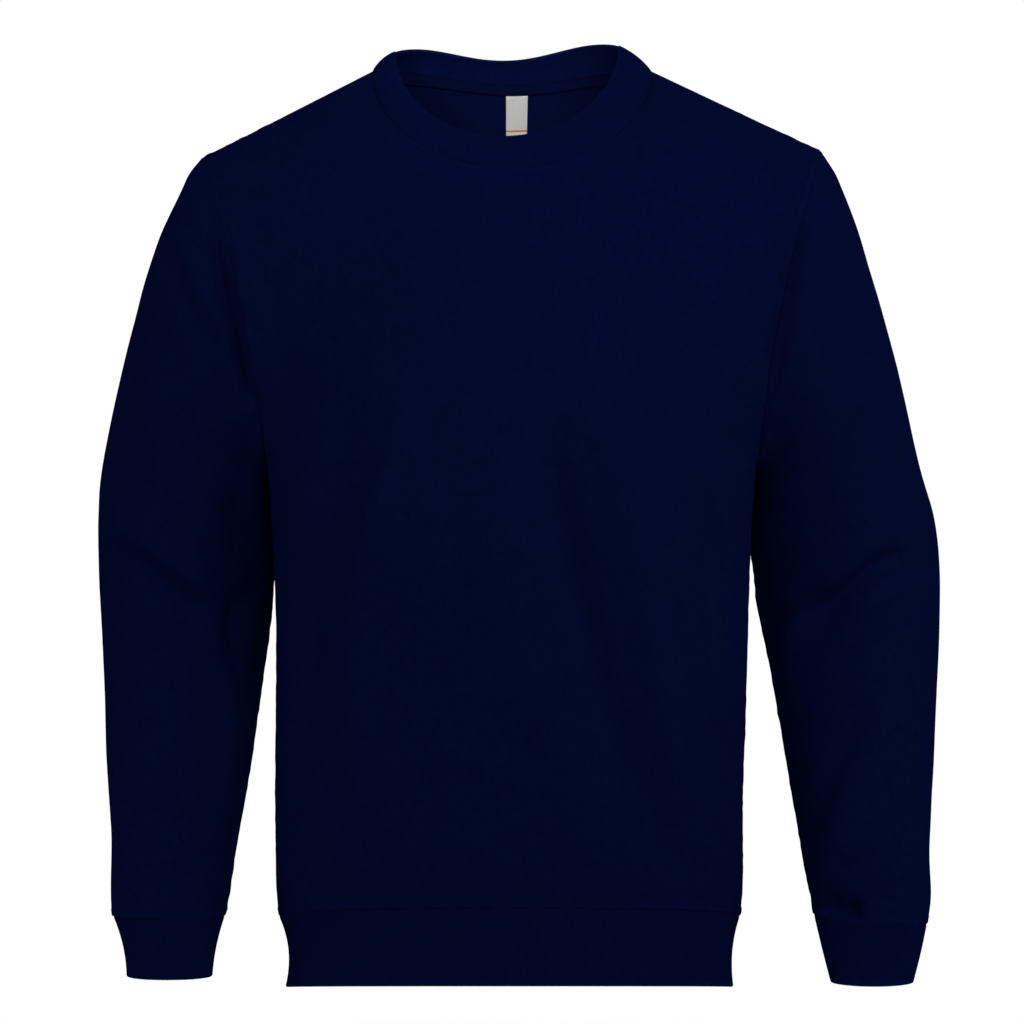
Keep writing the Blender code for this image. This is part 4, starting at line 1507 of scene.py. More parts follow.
@dataclass
class Panel(SewnCloth):
    """The front or back."""

    side: Side = Side.FRONT
    u: Array | None = None
    pit: int = 0  # the row at the armpit
    lap_fade: float = 0.02  # share of the half width in which the neck's lap ends
    lap_rows: int = 4  # rows above the armpit in which the armhole's lap starts
    first_stitch: int = 3  # rows above the armpit where the armhole's stitches start
    hem_waves: float = 1.5  # how much larger the puckers at the hem are
    rubbed: float = 0.3
    armhole_row: float = 6.0
    shoulder_row: float = 5.8
    shoulder_end: float = 0.985  # how far out along the shoulder its row runs

    def distances(self) -> dict[str, Array]:
        """Distance of each point from each edge.

        Returns:
            The distances from the hem, the top edge and both sides.
        """
        along, across = lengths_along(self.wall.outer, 0), lengths_along(self.wall.outer, 1)
        return {
            "hem": along,
            "top": along[-1:] - along,
            "first": across,
            "last": across[:, -1:] - across,
        }

    def shape_seams(self) -> Array:
        """Raises the relief beside its seams.

        Returns:
            How rubbed each point is.
        """
        d, outer = self.distances(), self.wall.outer
        inside = SHOULDER_SHARE + self.lap_fade - np.abs(self.u)
        neck = smoothstep(inside, 0, 2 * self.lap_fade)[None, :]
        rows = np.arange(len(outer))[:, None]
        yoke = smoothstep(rows - self.pit, 0, self.lap_rows)
        lap = self.relief.lap
        shoulder = 1.0 if self.side is Side.BACK else 0.0
        height = lap(d["top"]) * np.maximum(neck, shoulder) + lap(d["hem"])
        for edge in ("first", "last"):
            height = np.maximum(height, lap(d[edge]) * yoke)
        height = np.minimum(height, self.relief.lap_height)
        nearest = np.minimum(np.minimum(d["top"], d["hem"]), np.minimum(d["first"], d["last"]))
        height = height + self.relief.dip(nearest)
        puckers = self.relief.puckers
        height += puckers(outer[0], d["hem"], 1, self.hem_waves)
        height += puckers(outer[-1], d["top"], 1)
        height += puckers(outer[:, 0], d["first"], 0)
        height += puckers(outer[:, -1], d["last"], 0)
        self.raise_outer(height)
        return self.relief.rubbed(nearest, self.rubbed)

    def seam_lines(self) -> dict[str, list[ThreadLine]]:
        """Where thread shows on it.

        Returns:
            Lines of sewing by seam.
        """
        d, u = self.distances(), self.u
        neck = np.abs(u) <= SHOULDER_SHARE
        yoke = np.arange(len(d["top"])) >= self.pit + self.first_stitch
        sides = (d["first"], d["last"])
        lines = {
            "neck": [self.line_beside(d["top"], t, 1, neck) for t in TWIN_ROWS],
            "hem": [self.line_beside(d["hem"], t, 1, np.ones(len(u), bool)) for t in TWIN_ROWS],
            "armhole": [self.line_beside(away, self.armhole_row, 0, yoke) for away in sides],
            "shoulder": [],
        }
        if self.side is Side.BACK:
            for hand in Hand:
                on = (u * hand.value >= SHOULDER_SHARE) & (np.abs(u) < self.shoulder_end)
                lines["shoulder"].append(self.line_beside(d["top"], self.shoulder_row, 1, on))
        return lines


@dataclass
class Sleeve(SewnCloth):
    """One sleeve, a tube from its armhole to its cuff."""

    pit: int = 0  # the column at the armpit
    underarm_groove: float = 0.7
    cuff_waves: float = 2.4  # how much larger the puckers at the cuff are
    underarm_waves: float = 1.2
    rubbed: float = 0.15
    cuff_rows: tuple[float, float] = (1.7, 6.0)

    def shape_seams(self) -> Array:
        """Raises the relief beside its seams.

        Returns:
            How rubbed each point is.
        """
        outer = self.wall.outer
        along = lengths_along(outer, 0)
        cuff = along[-1:] - along
        around = np.concatenate([outer, outer[:, :1]], axis=1)
        across = lengths_along(around, 1)
        total = across[:, -1:]
        underarm = np.abs(across[:, :-1] - across[:, self.pit : self.pit + 1])
        underarm = np.minimum(underarm, total - underarm)
        height = self.relief.lap(cuff) + self.relief.dip(np.minimum(along, cuff))
        height += self.underarm_groove * self.relief.dip(underarm)
        height += self.relief.puckers(outer[0], along, 1)
        height += self.relief.puckers(outer[-1], cuff, 1, self.cuff_waves)
        height += self.relief.puckers(outer[:, self.pit], underarm, 0, self.underarm_waves)
        self.raise_outer(height)
        return self.relief.rubbed(np.minimum(along, cuff), self.rubbed)

    def seam_lines(self) -> dict[str, list[ThreadLine]]:
        """Where thread shows on it.

        Returns:
            Lines of sewing by seam.
        """
        along = lengths_along(self.wall.outer, 0)
        cuff = along[-1:] - along
        every = np.ones(along.shape[1], bool)
        lines = [self.line_beside(cuff, t, 1, every) for t in self.cuff_rows]
        closed = [(np.concatenate([part, part[:1]]) for part in line) for line in lines]
        return {"cuff": [ThreadLine(*parts) for parts in closed]}


@dataclass
class RibBand:
    """A folded band of rib knit, with upright ribs on both faces and over its fold."""

    wall: Wall
    ribs: int
    seam_first: bool = True
    relief: float = 0.36  # depth of the grooves between ribs
    tuck: float = 0.3  # how far the band dips at its seam
    tuck_width: float = 1.3
    rib_profile: tuple[float, ...] = (0.0, 0.3, 1.0, 0.3)  # from rib to groove and back
    fold_turns: int = 6
    seam_rows: tuple[float, ...] = (0.0, 0.7, 1.6, 2.8)
    first_row: float = 4.6  # of those that are evenly spaced
    spacing: float = 2.6
    rubbed_width: float = 2.2  # how far from the fold the cloth is rubbed

    def outline(self, length: float) -> Array:
        """The band's section, from its seam up the outer face, over the fold and back inside.

        Args:
            length: the band's height.

        Returns:
            For each point the distance from the seam, the depth, and the way out along and across.
        """
        radius = RIB_CLOTH / 2
        count = max(int((length - 2 * RIB_CLOTH) / self.spacing), 3)
        far = np.linspace(self.first_row, length - radius, count)
        rises = np.concatenate([self.seam_rows, far])
        out = [(s, self.tuck * math.exp(-((s / self.tuck_width) ** 2)), 0.0, -1.0) for s in rises]
        for turn in np.linspace(0, math.pi, self.fold_turns + 1)[1:-1]:
            along, across = math.sin(turn), -math.cos(turn)
            out.append((length - radius + radius * along, radius + radius * across, along, across))
        out += [(s, RIB_CLOTH, 0.0, 1.0) for s in rises[::-1]]
        return np.array(out)

    def build(self, name: str) -> Object:
        """Makes the band's mesh.

        Args:
            name: the new object's name.

        Returns:
            The object, with the painted shade of its grooves, the wear at its fold and the painted
            light on its inner face noted on its points.
        """
        outer = self.wall.outer
        run = lengths_along(outer, 0).mean(1)
        length = run[-1]
        middle = outer[len(outer) // 2]
        round_it = lengths_along(np.concatenate([middle, middle[:1]])[None], 1)[0]
        parts = len(self.rib_profile)
        spots = np.linspace(0, round_it[-1], self.ribs * parts, endpoint=False)
        columns = np.interp(spots, round_it, np.arange(len(round_it)))
        valley = np.tile(self.rib_profile, self.ribs)[None, :]
        section = self.outline(length)
        s, depth, along, across = section.T[..., None]
        s = s - along * self.relief * valley
        depth = depth - across * self.relief * valley
        s = np.clip(s, 0, length)
        if not self.seam_first:
            s = length - s
        rows = np.interp(s, run, np.arange(len(run)))
        columns = np.broadcast_to(columns[None, :], rows.shape)
        points = self.wall.sample(rows, columns, depth / RIB_CLOTH)

        bend = run_along(section[:, :2])
        bend = np.append(bend, bend[-1] + RIB_CLOTH)
        round_places = np.append(spots, round_it[-1])
        places = np.stack(np.broadcast_arrays(round_places[None, :], bend[:, None]), axis=-1)
        obj = rolled_grid(name, places * METRES, True, True)
        place_points(obj, points)
        inside = section[:, 1] > RIB_CLOTH / 2
        # painted shade in the grooves between ribs, weaker on the inner face
        note_on_points(obj, "groove", valley * np.where(inside, INSIDE_GROOVE_SHADE, 1.0)[:, None])
        fold = np.abs(section[:, 0] - length) < self.rubbed_width
        # painted light on the inner face, which lies in shade, and wear at the fold
        shown = np.where(inside, INSIDE_RIB_PAINTED_FILL, fold * FOLD_WORN)
        note_on_points(obj, "worn", np.broadcast_to(shown[:, None], rows.shape))
        return obj


@dataclass
class NeckTape:
    """The tape over the back neck seam, on the inside of the back panel."""

    wall: Wall  # of the back panel
    low_row: float
    columns: Array
    rows: int = 9
    inset: float = 0.05  # how far it stays below the seam, as a share of its width
    edge: float = 0.45  # thickness at its edges, as a share of the whole
    roundness: float = 0.35  # power of its section
    thread_height: float = 0.93

    def face(self) -> tuple[Array, Array]:
        """The back panel's inner face under the tape, and the normals there."""
        top = len(self.wall.outer) - 1.0
        spots = np.linspace(self.low_row, top - self.inset * (top - self.low_row), self.rows)
        rows, columns = np.meshgrid(spots, self.columns, indexing="ij")
        return self.wall.sample(rows, columns, 1.0), self.wall.sample_normal(rows, columns)

    def build(self) -> Object:
        """Makes the tape, thinner towards its two folded edges.

        Returns:
            The object.
        """
        face, out = self.face()
        crown = np.sin(np.linspace(0, math.pi, self.rows)) ** self.roundness
        near = face - out * LAID_GAP
        thick = TAPE_CLOTH * (self.edge + (1 - self.edge) * crown)
        far = near - out * thick[:, None, None]
        return thickened("back_neck_tape", near, far)

    def lines(self) -> list[ThreadLine]:
        """Sewing along both edges of the tape."""
        face, out = self.face()
        lift = LAID_GAP + TAPE_CLOTH * self.thread_height
        return [ThreadLine(face[k] - out[k] * lift, -out[k]) for k in (1, self.rows - 2)]


@dataclass
class NeckLabel:
    """A short woven label that hangs from the tape's lower edge against the back."""

    wall: Wall  # of the back panel
    top_row: float
    left: float = -4.8
    right: float = 12.6
    length: float = 42.0
    gap: float = 0.6
    bow: float = 0.5  # how far its middle bows
    stand: float = 1.2  # how far its lower edge stands off
    columns: int = 16
    rows: int = 34

    def build(self) -> Object:
        """Makes the label, a little bowed and with its lower edge standing off the back.

        Returns:
            The object.
        """
        inner = self.wall.inner
        row = int(self.top_row)
        order = np.argsort(inner[row, :, 0])
        x = np.linspace(self.left, self.right, self.columns)
        columns = np.interp(x, inner[row, order, 0], order.astype(float))
        middle = int(round(float(columns.mean())))
        run = lengths_along(inner[:, middle : middle + 1], 0)[:, 0]
        top = np.interp(self.top_row, np.arange(len(run)), run) - SEAM_GAP
        spots = np.interp(top - np.linspace(self.length, 0, self.rows), run, np.arange(len(run)))
        grid_rows, grid_columns = np.meshgrid(spots, columns, indexing="ij")
        out = self.wall.sample_normal(grid_rows, grid_columns)
        down = np.linspace(1, 0, self.rows)[:, None]
        across = np.cos(np.linspace(-1, 1, self.columns) * math.pi / 2)[None, :]
        lift = self.gap + self.bow * across * np.sin(math.pi * down) + self.stand * down**3
        near = self.wall.sample(grid_rows, grid_columns, 1.0) - out * lift[..., None]
        far = near - out * LABEL_CLOTH
        return thickened("back_neck_label", near, far)


# Sockets of a colour mix
MIX_FACTOR, MIX_LOW, MIX_HIGH, MIX_RESULT = 0, 6, 7, 2


class NodeTree:
    """Adds nodes to one tree and joins them as they are made."""

    def __init__(self, tree: ShaderNodeTree) -> None:
        """Keeps the tree to build in."""
        self.tree = tree

    def feed(self, node: Node, sockets: dict) -> None:
        """Feeds a node's inputs.

        Args:
            node: the node.
            sockets: for each input, by name or number, the output that feeds it or its value.
        """
        for name, value in sockets.items():
            if isinstance(value, NodeSocket):
                self.tree.links.new(value, node.inputs[name])
            else:
                node.inputs[name].default_value = value

    def add(self, kind: str, sockets: dict | None = None, **settings: object) -> Node:
        """A new node.

        Args:
            kind: its type.
            sockets: what feeds its inputs.
            settings: the node's own settings.

        Returns:
            The node.
        """
        node = self.tree.nodes.new(kind)
        for name, value in settings.items():
            setattr(node, name, value)
        self.feed(node, sockets or {})
        return node

    def maths(self, operation: str, *values: object) -> NodeSocket:
        """The result of one sum."""
        return self.add("ShaderNodeMath", dict(enumerate(values)), operation=operation).outputs[0]

    def remap(self, value: object, *ends: float) -> NodeSocket:
        """A value moved from one range to another, each given by its ends."""
        return self.add("ShaderNodeMapRange", dict(enumerate((value, *ends)))).outputs[0]

    def noise(self, place: object, scale: object, detail: float, **more: float) -> object:
        """Noise at a place, with more of its inputs by name."""
        sockets = {"Vector": place, "Scale": scale, "Detail": detail, **more}
        return self.add("ShaderNodeTexNoise", sockets).outputs[0]

    def bump(self, height: object, distance: float, **more: object) -> object:
        """The normal that a height gives, with more inputs by name."""
        sockets = {"Strength": 1.0, "Distance": distance, "Height": height, **more}
        return self.add("ShaderNodeBump", sockets).outputs[0]

    def group(self, tree: ShaderNodeTree, sockets: dict) -> NodeSocket:
        """The result of a node group."""
        return self.add("ShaderNodeGroup", sockets, node_tree=tree).outputs[0]

    def noted(self, name: str) -> NodeSocket:
        """The number kept under a name on the mesh's points."""
        return self.add("ShaderNodeAttribute", attribute_name=name).outputs["Fac"]

    def blend(self, factor: object, low: object, high: object, kind: str = "MIX") -> NodeSocket:
        """One colour mixed into another, by a factor held between 0 and 1."""
        sockets = {MIX_FACTOR: factor, MIX_LOW: low, MIX_HIGH: high}
        mix = self.add("ShaderNodeMix", sockets, data_type="RGBA", blend_type=kind)
        return mix.outputs[MIX_RESULT]


def new_material(name: str) -> tuple[Material, NodeTree, Node]:
    """An empty material, its tree and its shader."""
    material = bpy.data.materials.new(name)
    material.use_nodes = True
    nodes = material.node_tree.nodes
    return material, NodeTree(material.node_tree), nodes["Principled BSDF"]


def shared_group(
    name: str, sockets: dict[str, str], result: str, kind: str
) -> tuple[NodeTree, dict, Node]:
    """An empty node group with named inputs and one named output.

    Args:
        name: the group's name.
        sockets: socket type of each input.
        result: the output's name.
        kind: the output's socket type.

    Returns:
        The tree, its inputs by name, and its output node.
    """
    group = bpy.data.node_groups.new(name, "ShaderNodeTree")
    for label, type_name in sockets.items():
        group.interface.new_socket(label, in_out="INPUT", socket_type=type_name)
    group.interface.new_socket(result, in_out="OUTPUT", socket_type=kind)
    tree = NodeTree(group)
    entry, leave = tree.add("NodeGroupInput"), tree.add("NodeGroupOutput")
    return tree, entry.outputs, leave


FLOAT, VECTOR, COLOUR = "NodeSocketFloat", "NodeSocketVector", "NodeSocketColor"
WALE_ROUNDNESS = 3.2  # how far a column of stitches falls to its sides
COURSE_HEIGHT = 0.28  # height of the waves along it, as a share of its own
MOTTLING = 0.85  # share of small mottling in the dye, with broad clouds as the rest
DYE_SPREAD = (0.27, 0.73)  # noise that gives the deep and the pale colour
MAT_SCALE = 0.16  # of matted fibres, as a share of the fibres' own


class ClothNodes:
    """The node groups that the cloth materials share, each built once."""

    def __init__(self) -> None:
        """Builds the groups."""
        self.knit = self.knit_group()
        self.tone = self.tone_group()
        self.nap = self.nap_group()

    def knit_group(self) -> ShaderNodeTree:
        """Columns of V-shaped knit stitches on the cloth's own coordinates, as a height.

        Returns:
            The group.
        """
        sockets = {"Place": VECTOR, "Wale": FLOAT, "Course": FLOAT, "Slant": FLOAT}
        tree, given, leave = shared_group("knit_stitches", sockets, "Height", FLOAT)
        parts = tree.add("ShaderNodeSeparateXYZ", {0: given["Place"]}).outputs
        across = tree.maths("DIVIDE", parts[0], given["Wale"])
        along = tree.maths("DIVIDE", parts[1], given["Course"])
        off = tree.maths("ABSOLUTE", tree.maths("SUBTRACT", tree.maths("FRACT", across), 0.5))
        phase = tree.maths("ADD", along, tree.maths("MULTIPLY", off, given["Slant"]))
        wave = tree.maths("SINE", tree.maths("MULTIPLY", phase, 2 * math.pi))
        fall = tree.maths("MULTIPLY", tree.maths("POWER", off, 2.0), WALE_ROUNDNESS)
        height = tree.maths("MULTIPLY_ADD", wave, COURSE_HEIGHT, tree.maths("SUBTRACT", 1.0, fall))
        tree.feed(leave, {"Height": height})
        return tree.tree

    def tone_group(self) -> ShaderNodeTree:
        """The cloth's uneven dye: broad clouds, small mottling, and a paler tone that is wear at
        rubbed edges and painted light on the shaded inner faces.

        Returns:
            The group.
        """
        sockets = {
            "Place": VECTOR, "Deep": COLOUR, "Pale": COLOUR, "Broad Scale": FLOAT,
            "Small Scale": FLOAT, "Worn": FLOAT, "Rubbed": COLOUR,
        }
        tree, given, leave = shared_group("dye_wear_and_painted_fill", sockets, "Colour", COLOUR)
        broad = tree.noise(given["Place"], given["Broad Scale"], 2.0)
        small = tree.noise(given["Place"], given["Small Scale"], 4.0, Roughness=0.62)
        clouds = tree.maths("MULTIPLY", broad, 1 - MOTTLING)
        both = tree.maths("MULTIPLY_ADD", small, MOTTLING, clouds)
        dyed = tree.blend(tree.remap(both, *DYE_SPREAD), given["Deep"], given["Pale"])
        # the paler tone: wear, and painted light on inner faces in shade, patchy with the mottling
        patchy = tree.maths("MULTIPLY", given["Worn"], small)
        tree.feed(leave, {"Colour": tree.blend(patchy, dyed, given["Rubbed"])})
        return tree.tree

    def nap_group(self) -> ShaderNodeTree:
        """Short fibres that stand off the cloth, as a height.

        Returns:
            The group.
        """
        sockets = {"Place": VECTOR, "Scale": FLOAT, "Matting": FLOAT}
        tree, given, leave = shared_group("fibre_nap", sockets, "Height", FLOAT)
        fibres = tree.noise(given["Place"], given["Scale"], 3.0, Distortion=1.2)
        mat_scale = tree.maths("MULTIPLY", given["Scale"], MAT_SCALE)
        mats = tree.noise(given["Place"], mat_scale, 2.0)
        tree.feed(leave, {"Height": tree.maths("MULTIPLY_ADD", mats, given["Matting"], fibres)})
        return tree.tree


Rgb = tuple[float, float, float]


@dataclass(frozen=True)
class KnitFinish:
    """A dyed cotton knit: its colours, its stitches and how it takes the light."""

    name: str
    deep: Rgb
    pale: Rgb
    # paler tone for wear, and painted light on the inner faces where shade falls
    rubbed: Rgb
    wale: float  # metres
    course: float
    knit_height: float
    nap_height: float
    roughness: float = 0.95
    gloss: float = 0.0
    sheen: float = 0.012
    sheen_roughness: float = 0.5
    sheen_tint: Rgb = (0.06, 0.16, 1.0)
    groove: Rgb | None = None  # painted shade deep between ribs
    broad_scale: float = 28.0  # of the clouds in the dye
    small_scale: float = 210.0  # of its mottling
    slant: float = 1.6  # how steep the stitches' sides are
    gap_heights: tuple[float, float] = (0.1, 0.9)  # between stitches, and on them
    stitch_shading: tuple[float, float] = (0.72, 1.08)  # painted shade between stitches and painted light on them, as brightness
    nap_scale: float = 1500.0
    matting: float = 1.6

    def material(self, nodes: ClothNodes) -> Material:
        """Builds the material.

        Args:
            nodes: the shared groups.

        Returns:
            The material.
        """
        material, tree, shader = new_material(self.name)
        place = tree.add("ShaderNodeUVMap", uv_map="UVMap").outputs[0]
        solid = tree.add("ShaderNodeTexCoord").outputs["Object"]
        colour = tree.group(
            nodes.tone,
            {
                "Place": solid, "Worn": tree.noted("worn"), "Deep": (*self.deep, 1),
                "Pale": (*self.pale, 1), "Rubbed": (*self.rubbed, 1),
                "Broad Scale": self.broad_scale, "Small Scale": self.small_scale,
            },
        )
        stitches = {"Place": place, "Wale": self.wale, "Course": self.course, "Slant": self.slant}
        knit = tree.group(nodes.knit, stitches)
        fibres = {"Place": solid, "Scale": self.nap_scale, "Matting": self.matting}
        nap = tree.group(nodes.nap, fibres)
        # painted shade between the stitches and painted light on them, multiplied into the colour
        stitch_shade = tree.remap(knit, *self.gap_heights, *self.stitch_shading)
        grey = tree.add("ShaderNodeCombineColor", {0: stitch_shade, 1: stitch_shade, 2: stitch_shade}).outputs[0]
        colour = tree.blend(1.0, colour, grey, "MULTIPLY")
        if self.groove is not None:
            # painted shade in the grooves between ribs
            colour = tree.blend(tree.noted("groove"), colour, (*self.groove, 1))
        stitched = tree.bump(knit, self.knit_height)
        tree.feed(
            shader,
            {
                "Base Color": colour, "Roughness": self.roughness,
                "Specular IOR Level": self.gloss, "Sheen Weight": self.sheen,
                "Sheen Roughness": self.sheen_roughness, "Sheen Tint": (*self.sheen_tint, 1),
                "Normal": tree.bump(nap, self.nap_height, Normal=stitched),
            },
        )
        return material


@dataclass(frozen=True)
class WovenFinish:
    """A woven label: its pale ground, the thin bars across it and its threads."""

    name: str
    ground: Rgb
    weft: Rgb
    bar: Rgb
    bars: tuple[tuple[float, float], ...]  # lower and upper edge up the label, in metres
    roughness: float = 0.62
    sheen: float = 0.15
    thread: float = 0.00035  # metres from one to the next
    thread_height: float = 0.00008

    def material(self) -> Material:
        """Builds the material.

        Returns:
            The material.
        """
        material, tree, shader = new_material(self.name)
        place = tree.add("ShaderNodeUVMap", uv_map="UVMap").outputs[0]
        parts = tree.add("ShaderNodeSeparateXYZ", {0: place}).outputs
        turns = [tree.maths("MULTIPLY", parts[k], 2 * math.pi / self.thread) for k in (0, 1)]
        weave = tree.maths("MULTIPLY", *(tree.maths("SINE", turn) for turn in turns))
        mask = tree.maths("MULTIPLY_ADD", weave, 0.5, 0.5)
        colour = tree.blend(mask, (*self.weft, 1), (*self.ground, 1))
        for low, high in self.bars:
            above = tree.maths("GREATER_THAN", parts[1], low)
            inside = tree.maths("MULTIPLY", above, tree.maths("LESS_THAN", parts[1], high))
            colour = tree.blend(inside, colour, (*self.bar, 1))
        normal = tree.bump(weave, self.thread_height)
        settings = {"Roughness": self.roughness, "Sheen Weight": self.sheen}
        tree.feed(shader, {"Base Color": colour, "Normal": normal, **settings})
        return material


# Each finish's paler tone is wear, and painted light on inner faces in shade; the rib's groove
# colour is painted shade.
NAVY_FLEECE = KnitFinish(
    "navy_fleece", deep=(0.0010, 0.0027, 0.0240), pale=(0.0013, 0.0047, 0.0345),
    rubbed=(0.0025, 0.0064, 0.050), wale=0.00095, course=0.0008,
    knit_height=0.00008, nap_height=0.00012,
)
NAVY_RIB = KnitFinish(
    "navy_rib", deep=(0.0012, 0.0031, 0.0275), pale=(0.0017, 0.0050, 0.0370),
    rubbed=(0.0033, 0.0095, 0.076), wale=0.0011, course=0.0009,
    knit_height=0.00008, nap_height=0.00008, groove=(0.0010, 0.0026, 0.0235),
)
NAVY_TAPE = KnitFinish(
    "navy_tape", deep=(0.0012, 0.0030, 0.0260), pale=(0.0018, 0.0044, 0.0360),
    rubbed=(0.0030, 0.0065, 0.045), wale=0.0008, course=0.0016,
    knit_height=0.00012, nap_height=0.00005, roughness=0.9, sheen_roughness=0.45,
)
NAVY_THREAD = KnitFinish(
    "navy_thread", deep=(0.0014, 0.0036, 0.0310), pale=(0.0020, 0.0050, 0.0420),
    rubbed=(0.0026, 0.0062, 0.046), wale=0.0004, course=0.0004, knit_height=0.00004,
    nap_height=0.00002, roughness=0.7, sheen=0.02, sheen_roughness=0.4,
    sheen_tint=(0.1, 0.22, 1.0),
)
LABEL_WEAVE = WovenFinish(
    "woven_label", ground=(0.94, 0.95, 0.92), weft=(0.84, 0.85, 0.82), bar=(0.90, 0.24, 0.04),
    bars=((0.0074, 0.0086), (0.0128, 0.0142)),
)


@dataclass(frozen=True)
class SoftBox:
    """A square studio light, aimed at the garment and unseen itself."""

    name: str
    round_deg: float  # from straight in front, growing towards the wearer's left
    up_deg: float
    watts: float
    distance: float = 2.8
    size: float = 1.4
    aim: tuple[float, float, float] = (0.0, 0.0, -0.33)
    spread_deg: float = 180.0

    def light(self) -> None:
        """Hangs the light."""
        turn, rise = math.radians(self.round_deg), math.radians(self.up_deg)
        level = math.cos(rise)
        way = Vector((math.sin(turn) * level, -math.cos(turn) * level, math.sin(rise)))
        bpy.ops.object.light_add(type="AREA", location=Vector(self.aim) + way * self.distance)
        lamp = bpy.context.object
        lamp.name = self.name
        lamp.data.shape, lamp.data.size = "SQUARE", self.size
        lamp.data.energy, lamp.data.spread = self.watts, math.radians(self.spread_deg)
        lamp.rotation_euler = (-way).to_track_quat("-Z", "Y").to_euler()
        lamp.visible_camera = False


@dataclass
class Studio:
    """White studio: floor, soft light and the camera in front."""

    floor_drop: float = 0.65
    floor_size: float = 3.0
    floor_grey: float = 0.48
    floor_roughness: float = 0.8
    sky: float = 0.14
    boxes: tuple[SoftBox, ...] = (
        SoftBox("key_box", 22, 37, 35.5),
        SoftBox("right_box", 70, 2, 17.8),
        SoftBox("left_box", -70, 4, 19.0),
        SoftBox("front_box", -8, 12, 9.0),
        SoftBox("chest_box", 8, 14, 0.20, size=0.8, aim=(0.05, 0.0, -0.14), spread_deg=16.0),
        SoftBox("neck_box", -20, 5, 0.019, 1.3, 0.08, aim=(0.0, 0.06, 0.024), spread_deg=12.0),
        SoftBox("back_box", 165, 28, 46.0),
        SoftBox("low_back_box", -150, 0, 14.0),
    )

    def build(self, lowest: float) -> None:
        """Makes the floor, the lights, the sky and the camera.

        Args:
            lowest: the garment's lowest point, in metres.
        """
        bpy.ops.object.select_all(action="DESELECT")
        low = lowest - self.floor_drop
        bpy.ops.mesh.primitive_plane_add(size=self.floor_size, location=(0, 0, low))
        floor = bpy.context.object
        floor.name = "studio_floor"
        paint, tree, shader = new_material("floor_paint")
        grey = (self.floor_grey, self.floor_grey, self.floor_grey, 1)
        tree.feed(shader, {"Base Color": grey, "Roughness": self.floor_roughness})
        floor.data.materials.append(paint)
        floor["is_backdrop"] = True
        for box in self.boxes:
            box.light()
        self.sky_light()
        self.camera()

    def sky_light(self) -> None:
        """White behind the garment, and a dimmer white that lights it from all round."""
        world = bpy.data.worlds.new("studio_white")
        bpy.context.scene.world = world
        world.use_nodes = True
        tree = NodeTree(world.node_tree)
        seen = tree.add("ShaderNodeLightPath").outputs["Is Camera Ray"]
        strength = tree.remap(seen, 0.0, 1.0, self.sky, 1.0)
        back = world.node_tree.nodes["Background"]
        tree.feed(back, {"Strength": strength, "Color": (1, 1, 1, 1)})

    def camera(self) -> None:
        """A long lens at the garment's middle height."""
        place = (0, -EYE_DISTANCE * METRES, EYE_HEIGHT * METRES)
        bpy.ops.object.camera_add(location=place, rotation=(math.pi / 2, 0, 0))
        camera = bpy.context.object
        camera.name = "front_camera"
        camera.data.sensor_width = SENSOR
        camera.data.lens = SENSOR * EYE_DISTANCE / VIEW_WIDTH
        camera.data.dof.use_dof = False
        camera.data.clip_end = 50.0
        bpy.context.scene.camera = camera


class Cut(NamedTuple):
    """How a piece is cut flat, in metres."""

    width: float
    length: float
    area: float | None = None


@dataclass
class Dresser:
    """Puts finished pieces in the place of the frame's nodes."""

    nodes: ClothNodes = field(default_factory=ClothNodes)
    materials: dict[str, Material] = field(default_factory=dict)

    def finish(self, finish: KnitFinish | WovenFinish) -> Material:
        """The material of a finish, built once."""
        if finish.name not in self.materials:
            shared = (self.nodes,) if isinstance(finish, KnitFinish) else ()
            self.materials[finish.name] = finish.material(*shared)
        return self.materials[finish.name]

    def dress(
        self, obj: Object, finish: KnitFinish | WovenFinish, slot: str, node: str = ""
    ) -> None:
        """Gives a piece its finish and its place in the frame.

        Args:
            obj: the piece.
            finish: what it is made of.
            slot: the record's material slot; not used.
            node: the frame's node that it replaces, or none for sewing.
        """
        obj.data.materials.clear()
        obj.data.materials.append(self.finish(finish))
        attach(obj, BODY)
        if node:
            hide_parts(node)
        area = sum(face.area for face in obj.data.polygons)
        log.info("%s: %d faces, %.4f square metres", obj.name, len(obj.data.polygons), area)


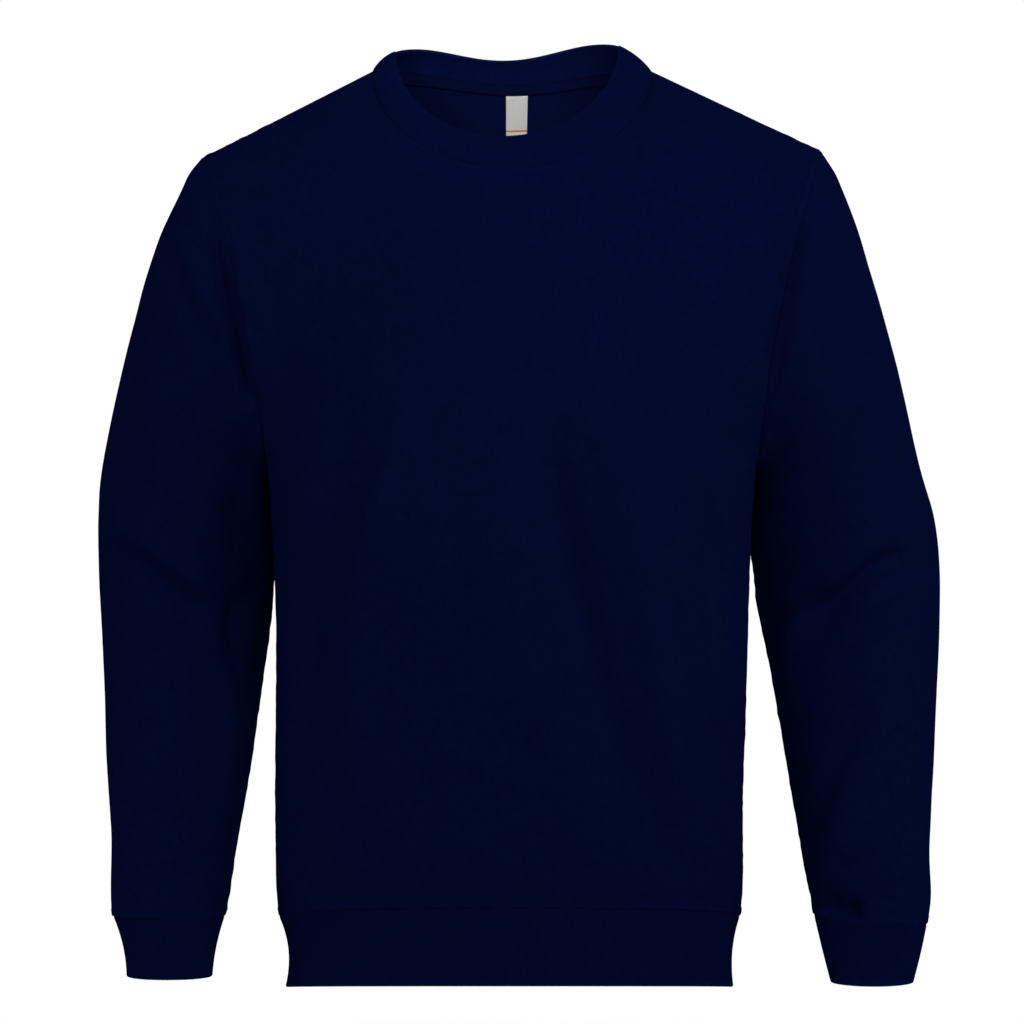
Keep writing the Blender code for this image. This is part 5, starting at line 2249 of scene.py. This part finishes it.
@dataclass
class Sweatshirt:
    """The whole visible garment."""

    garment: Garment = field(default_factory=Garment)
    dresser: Dresser = field(default_factory=Dresser)
    lines: dict[str, list[ThreadLine]] = field(default_factory=dict)  # of sewing, by seam
    hem_ribs: int = 405
    neck_ribs: int = 250
    cuff_ribs: int = 96
    tape_share: float = 0.946  # where the tape's lower edge lies up the yoke

    def build(self) -> None:
        """Makes and dresses every piece."""
        walls = self.garment.sewn()
        u, shares = self.garment.column_places(), self.garment.yoke_shares()
        pit = self.garment.pit_row()
        self.fleece("front_panel", Panel(walls["front_panel"], u=u, pit=pit))
        back = Panel(walls["back_panel"], side=Side.BACK, u=u[::-1], pit=pit)
        self.fleece("back_panel", back)
        for key in ("right", "left"):
            self.fleece(f"sleeve_{key}", Sleeve(walls[f"sleeve_{key}"], pit=len(shares) - 1))
            self.rib(f"cuff_{key}", f"cuff_{key}", RibBand(walls[f"cuff_{key}"], self.cuff_ribs))
        self.rib("hem_band", "hem", RibBand(walls["hem_band"], self.hem_ribs, seam_first=False))
        self.rib("neckband", "neck", RibBand(walls["neckband"], self.neck_ribs))
        self.trim(back, pit + np.interp(self.tape_share, shares, np.arange(len(shares))))
        stitching = Stitching()
        for seam, parts in self.lines.items():
            if parts:
                self.dresser.dress(stitching.sewn(f"{seam}_stitches", parts), NAVY_THREAD, "fleece")

    def fleece(self, node: str, piece: Panel | Sleeve) -> None:
        """Makes a fleece piece and keeps its lines of sewing.

        Args:
            node: the frame's node that it replaces.
            piece: the panel or sleeve.
        """
        worn = piece.shape_seams()
        wall = piece.wall
        obj = thickened(f"{node}_cloth", wall.outer, wall.inner, wall.closed, worn)
        self.dresser.dress(obj, NAVY_FLEECE, "fleece", node)
        for seam, parts in piece.seam_lines().items():
            self.lines.setdefault(seam, []).extend(parts)

    def rib(self, node: str, name: str, band: RibBand) -> None:
        """Makes a rib band in the place of a node."""
        self.dresser.dress(band.build(f"{name}_rib"), NAVY_RIB, "rib", node)

    def trim(self, back: Panel, low_row: float) -> None:
        """Makes the tape and the label inside the back neck.

        Args:
            back: the back panel.
            low_row: its row at the tape's lower edge.
        """
        columns = np.flatnonzero(between_neck_points(back.u)).astype(float)
        tape = NeckTape(back.wall, low_row, columns)
        self.dresser.dress(tape.build(), NAVY_TAPE, "tape", "neck_tape")
        self.lines["tape"] = tape.lines()
        label = NeckLabel(back.wall, low_row)
        self.dresser.dress(label.build(), LABEL_WEAVE, "label", "neck_label")


def box_lists(bounds: tuple) -> list[list[float]]:
    """A box as plain lists of numbers."""
    return [[float(v) for v in corner] for corner in bounds]


def main() -> None:
    """Loads the frame, builds the garment round it, and sets up the studio."""
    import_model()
    solid = box_lists(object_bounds())
    Sweatshirt().build()
    Studio().build(solid[0][2])
    bpy.context.scene.view_settings.view_transform = "Standard"


if __name__ == "__main__":
    logging.basicConfig(level=logging.INFO, format="%(name)s: %(message)s")
    main()
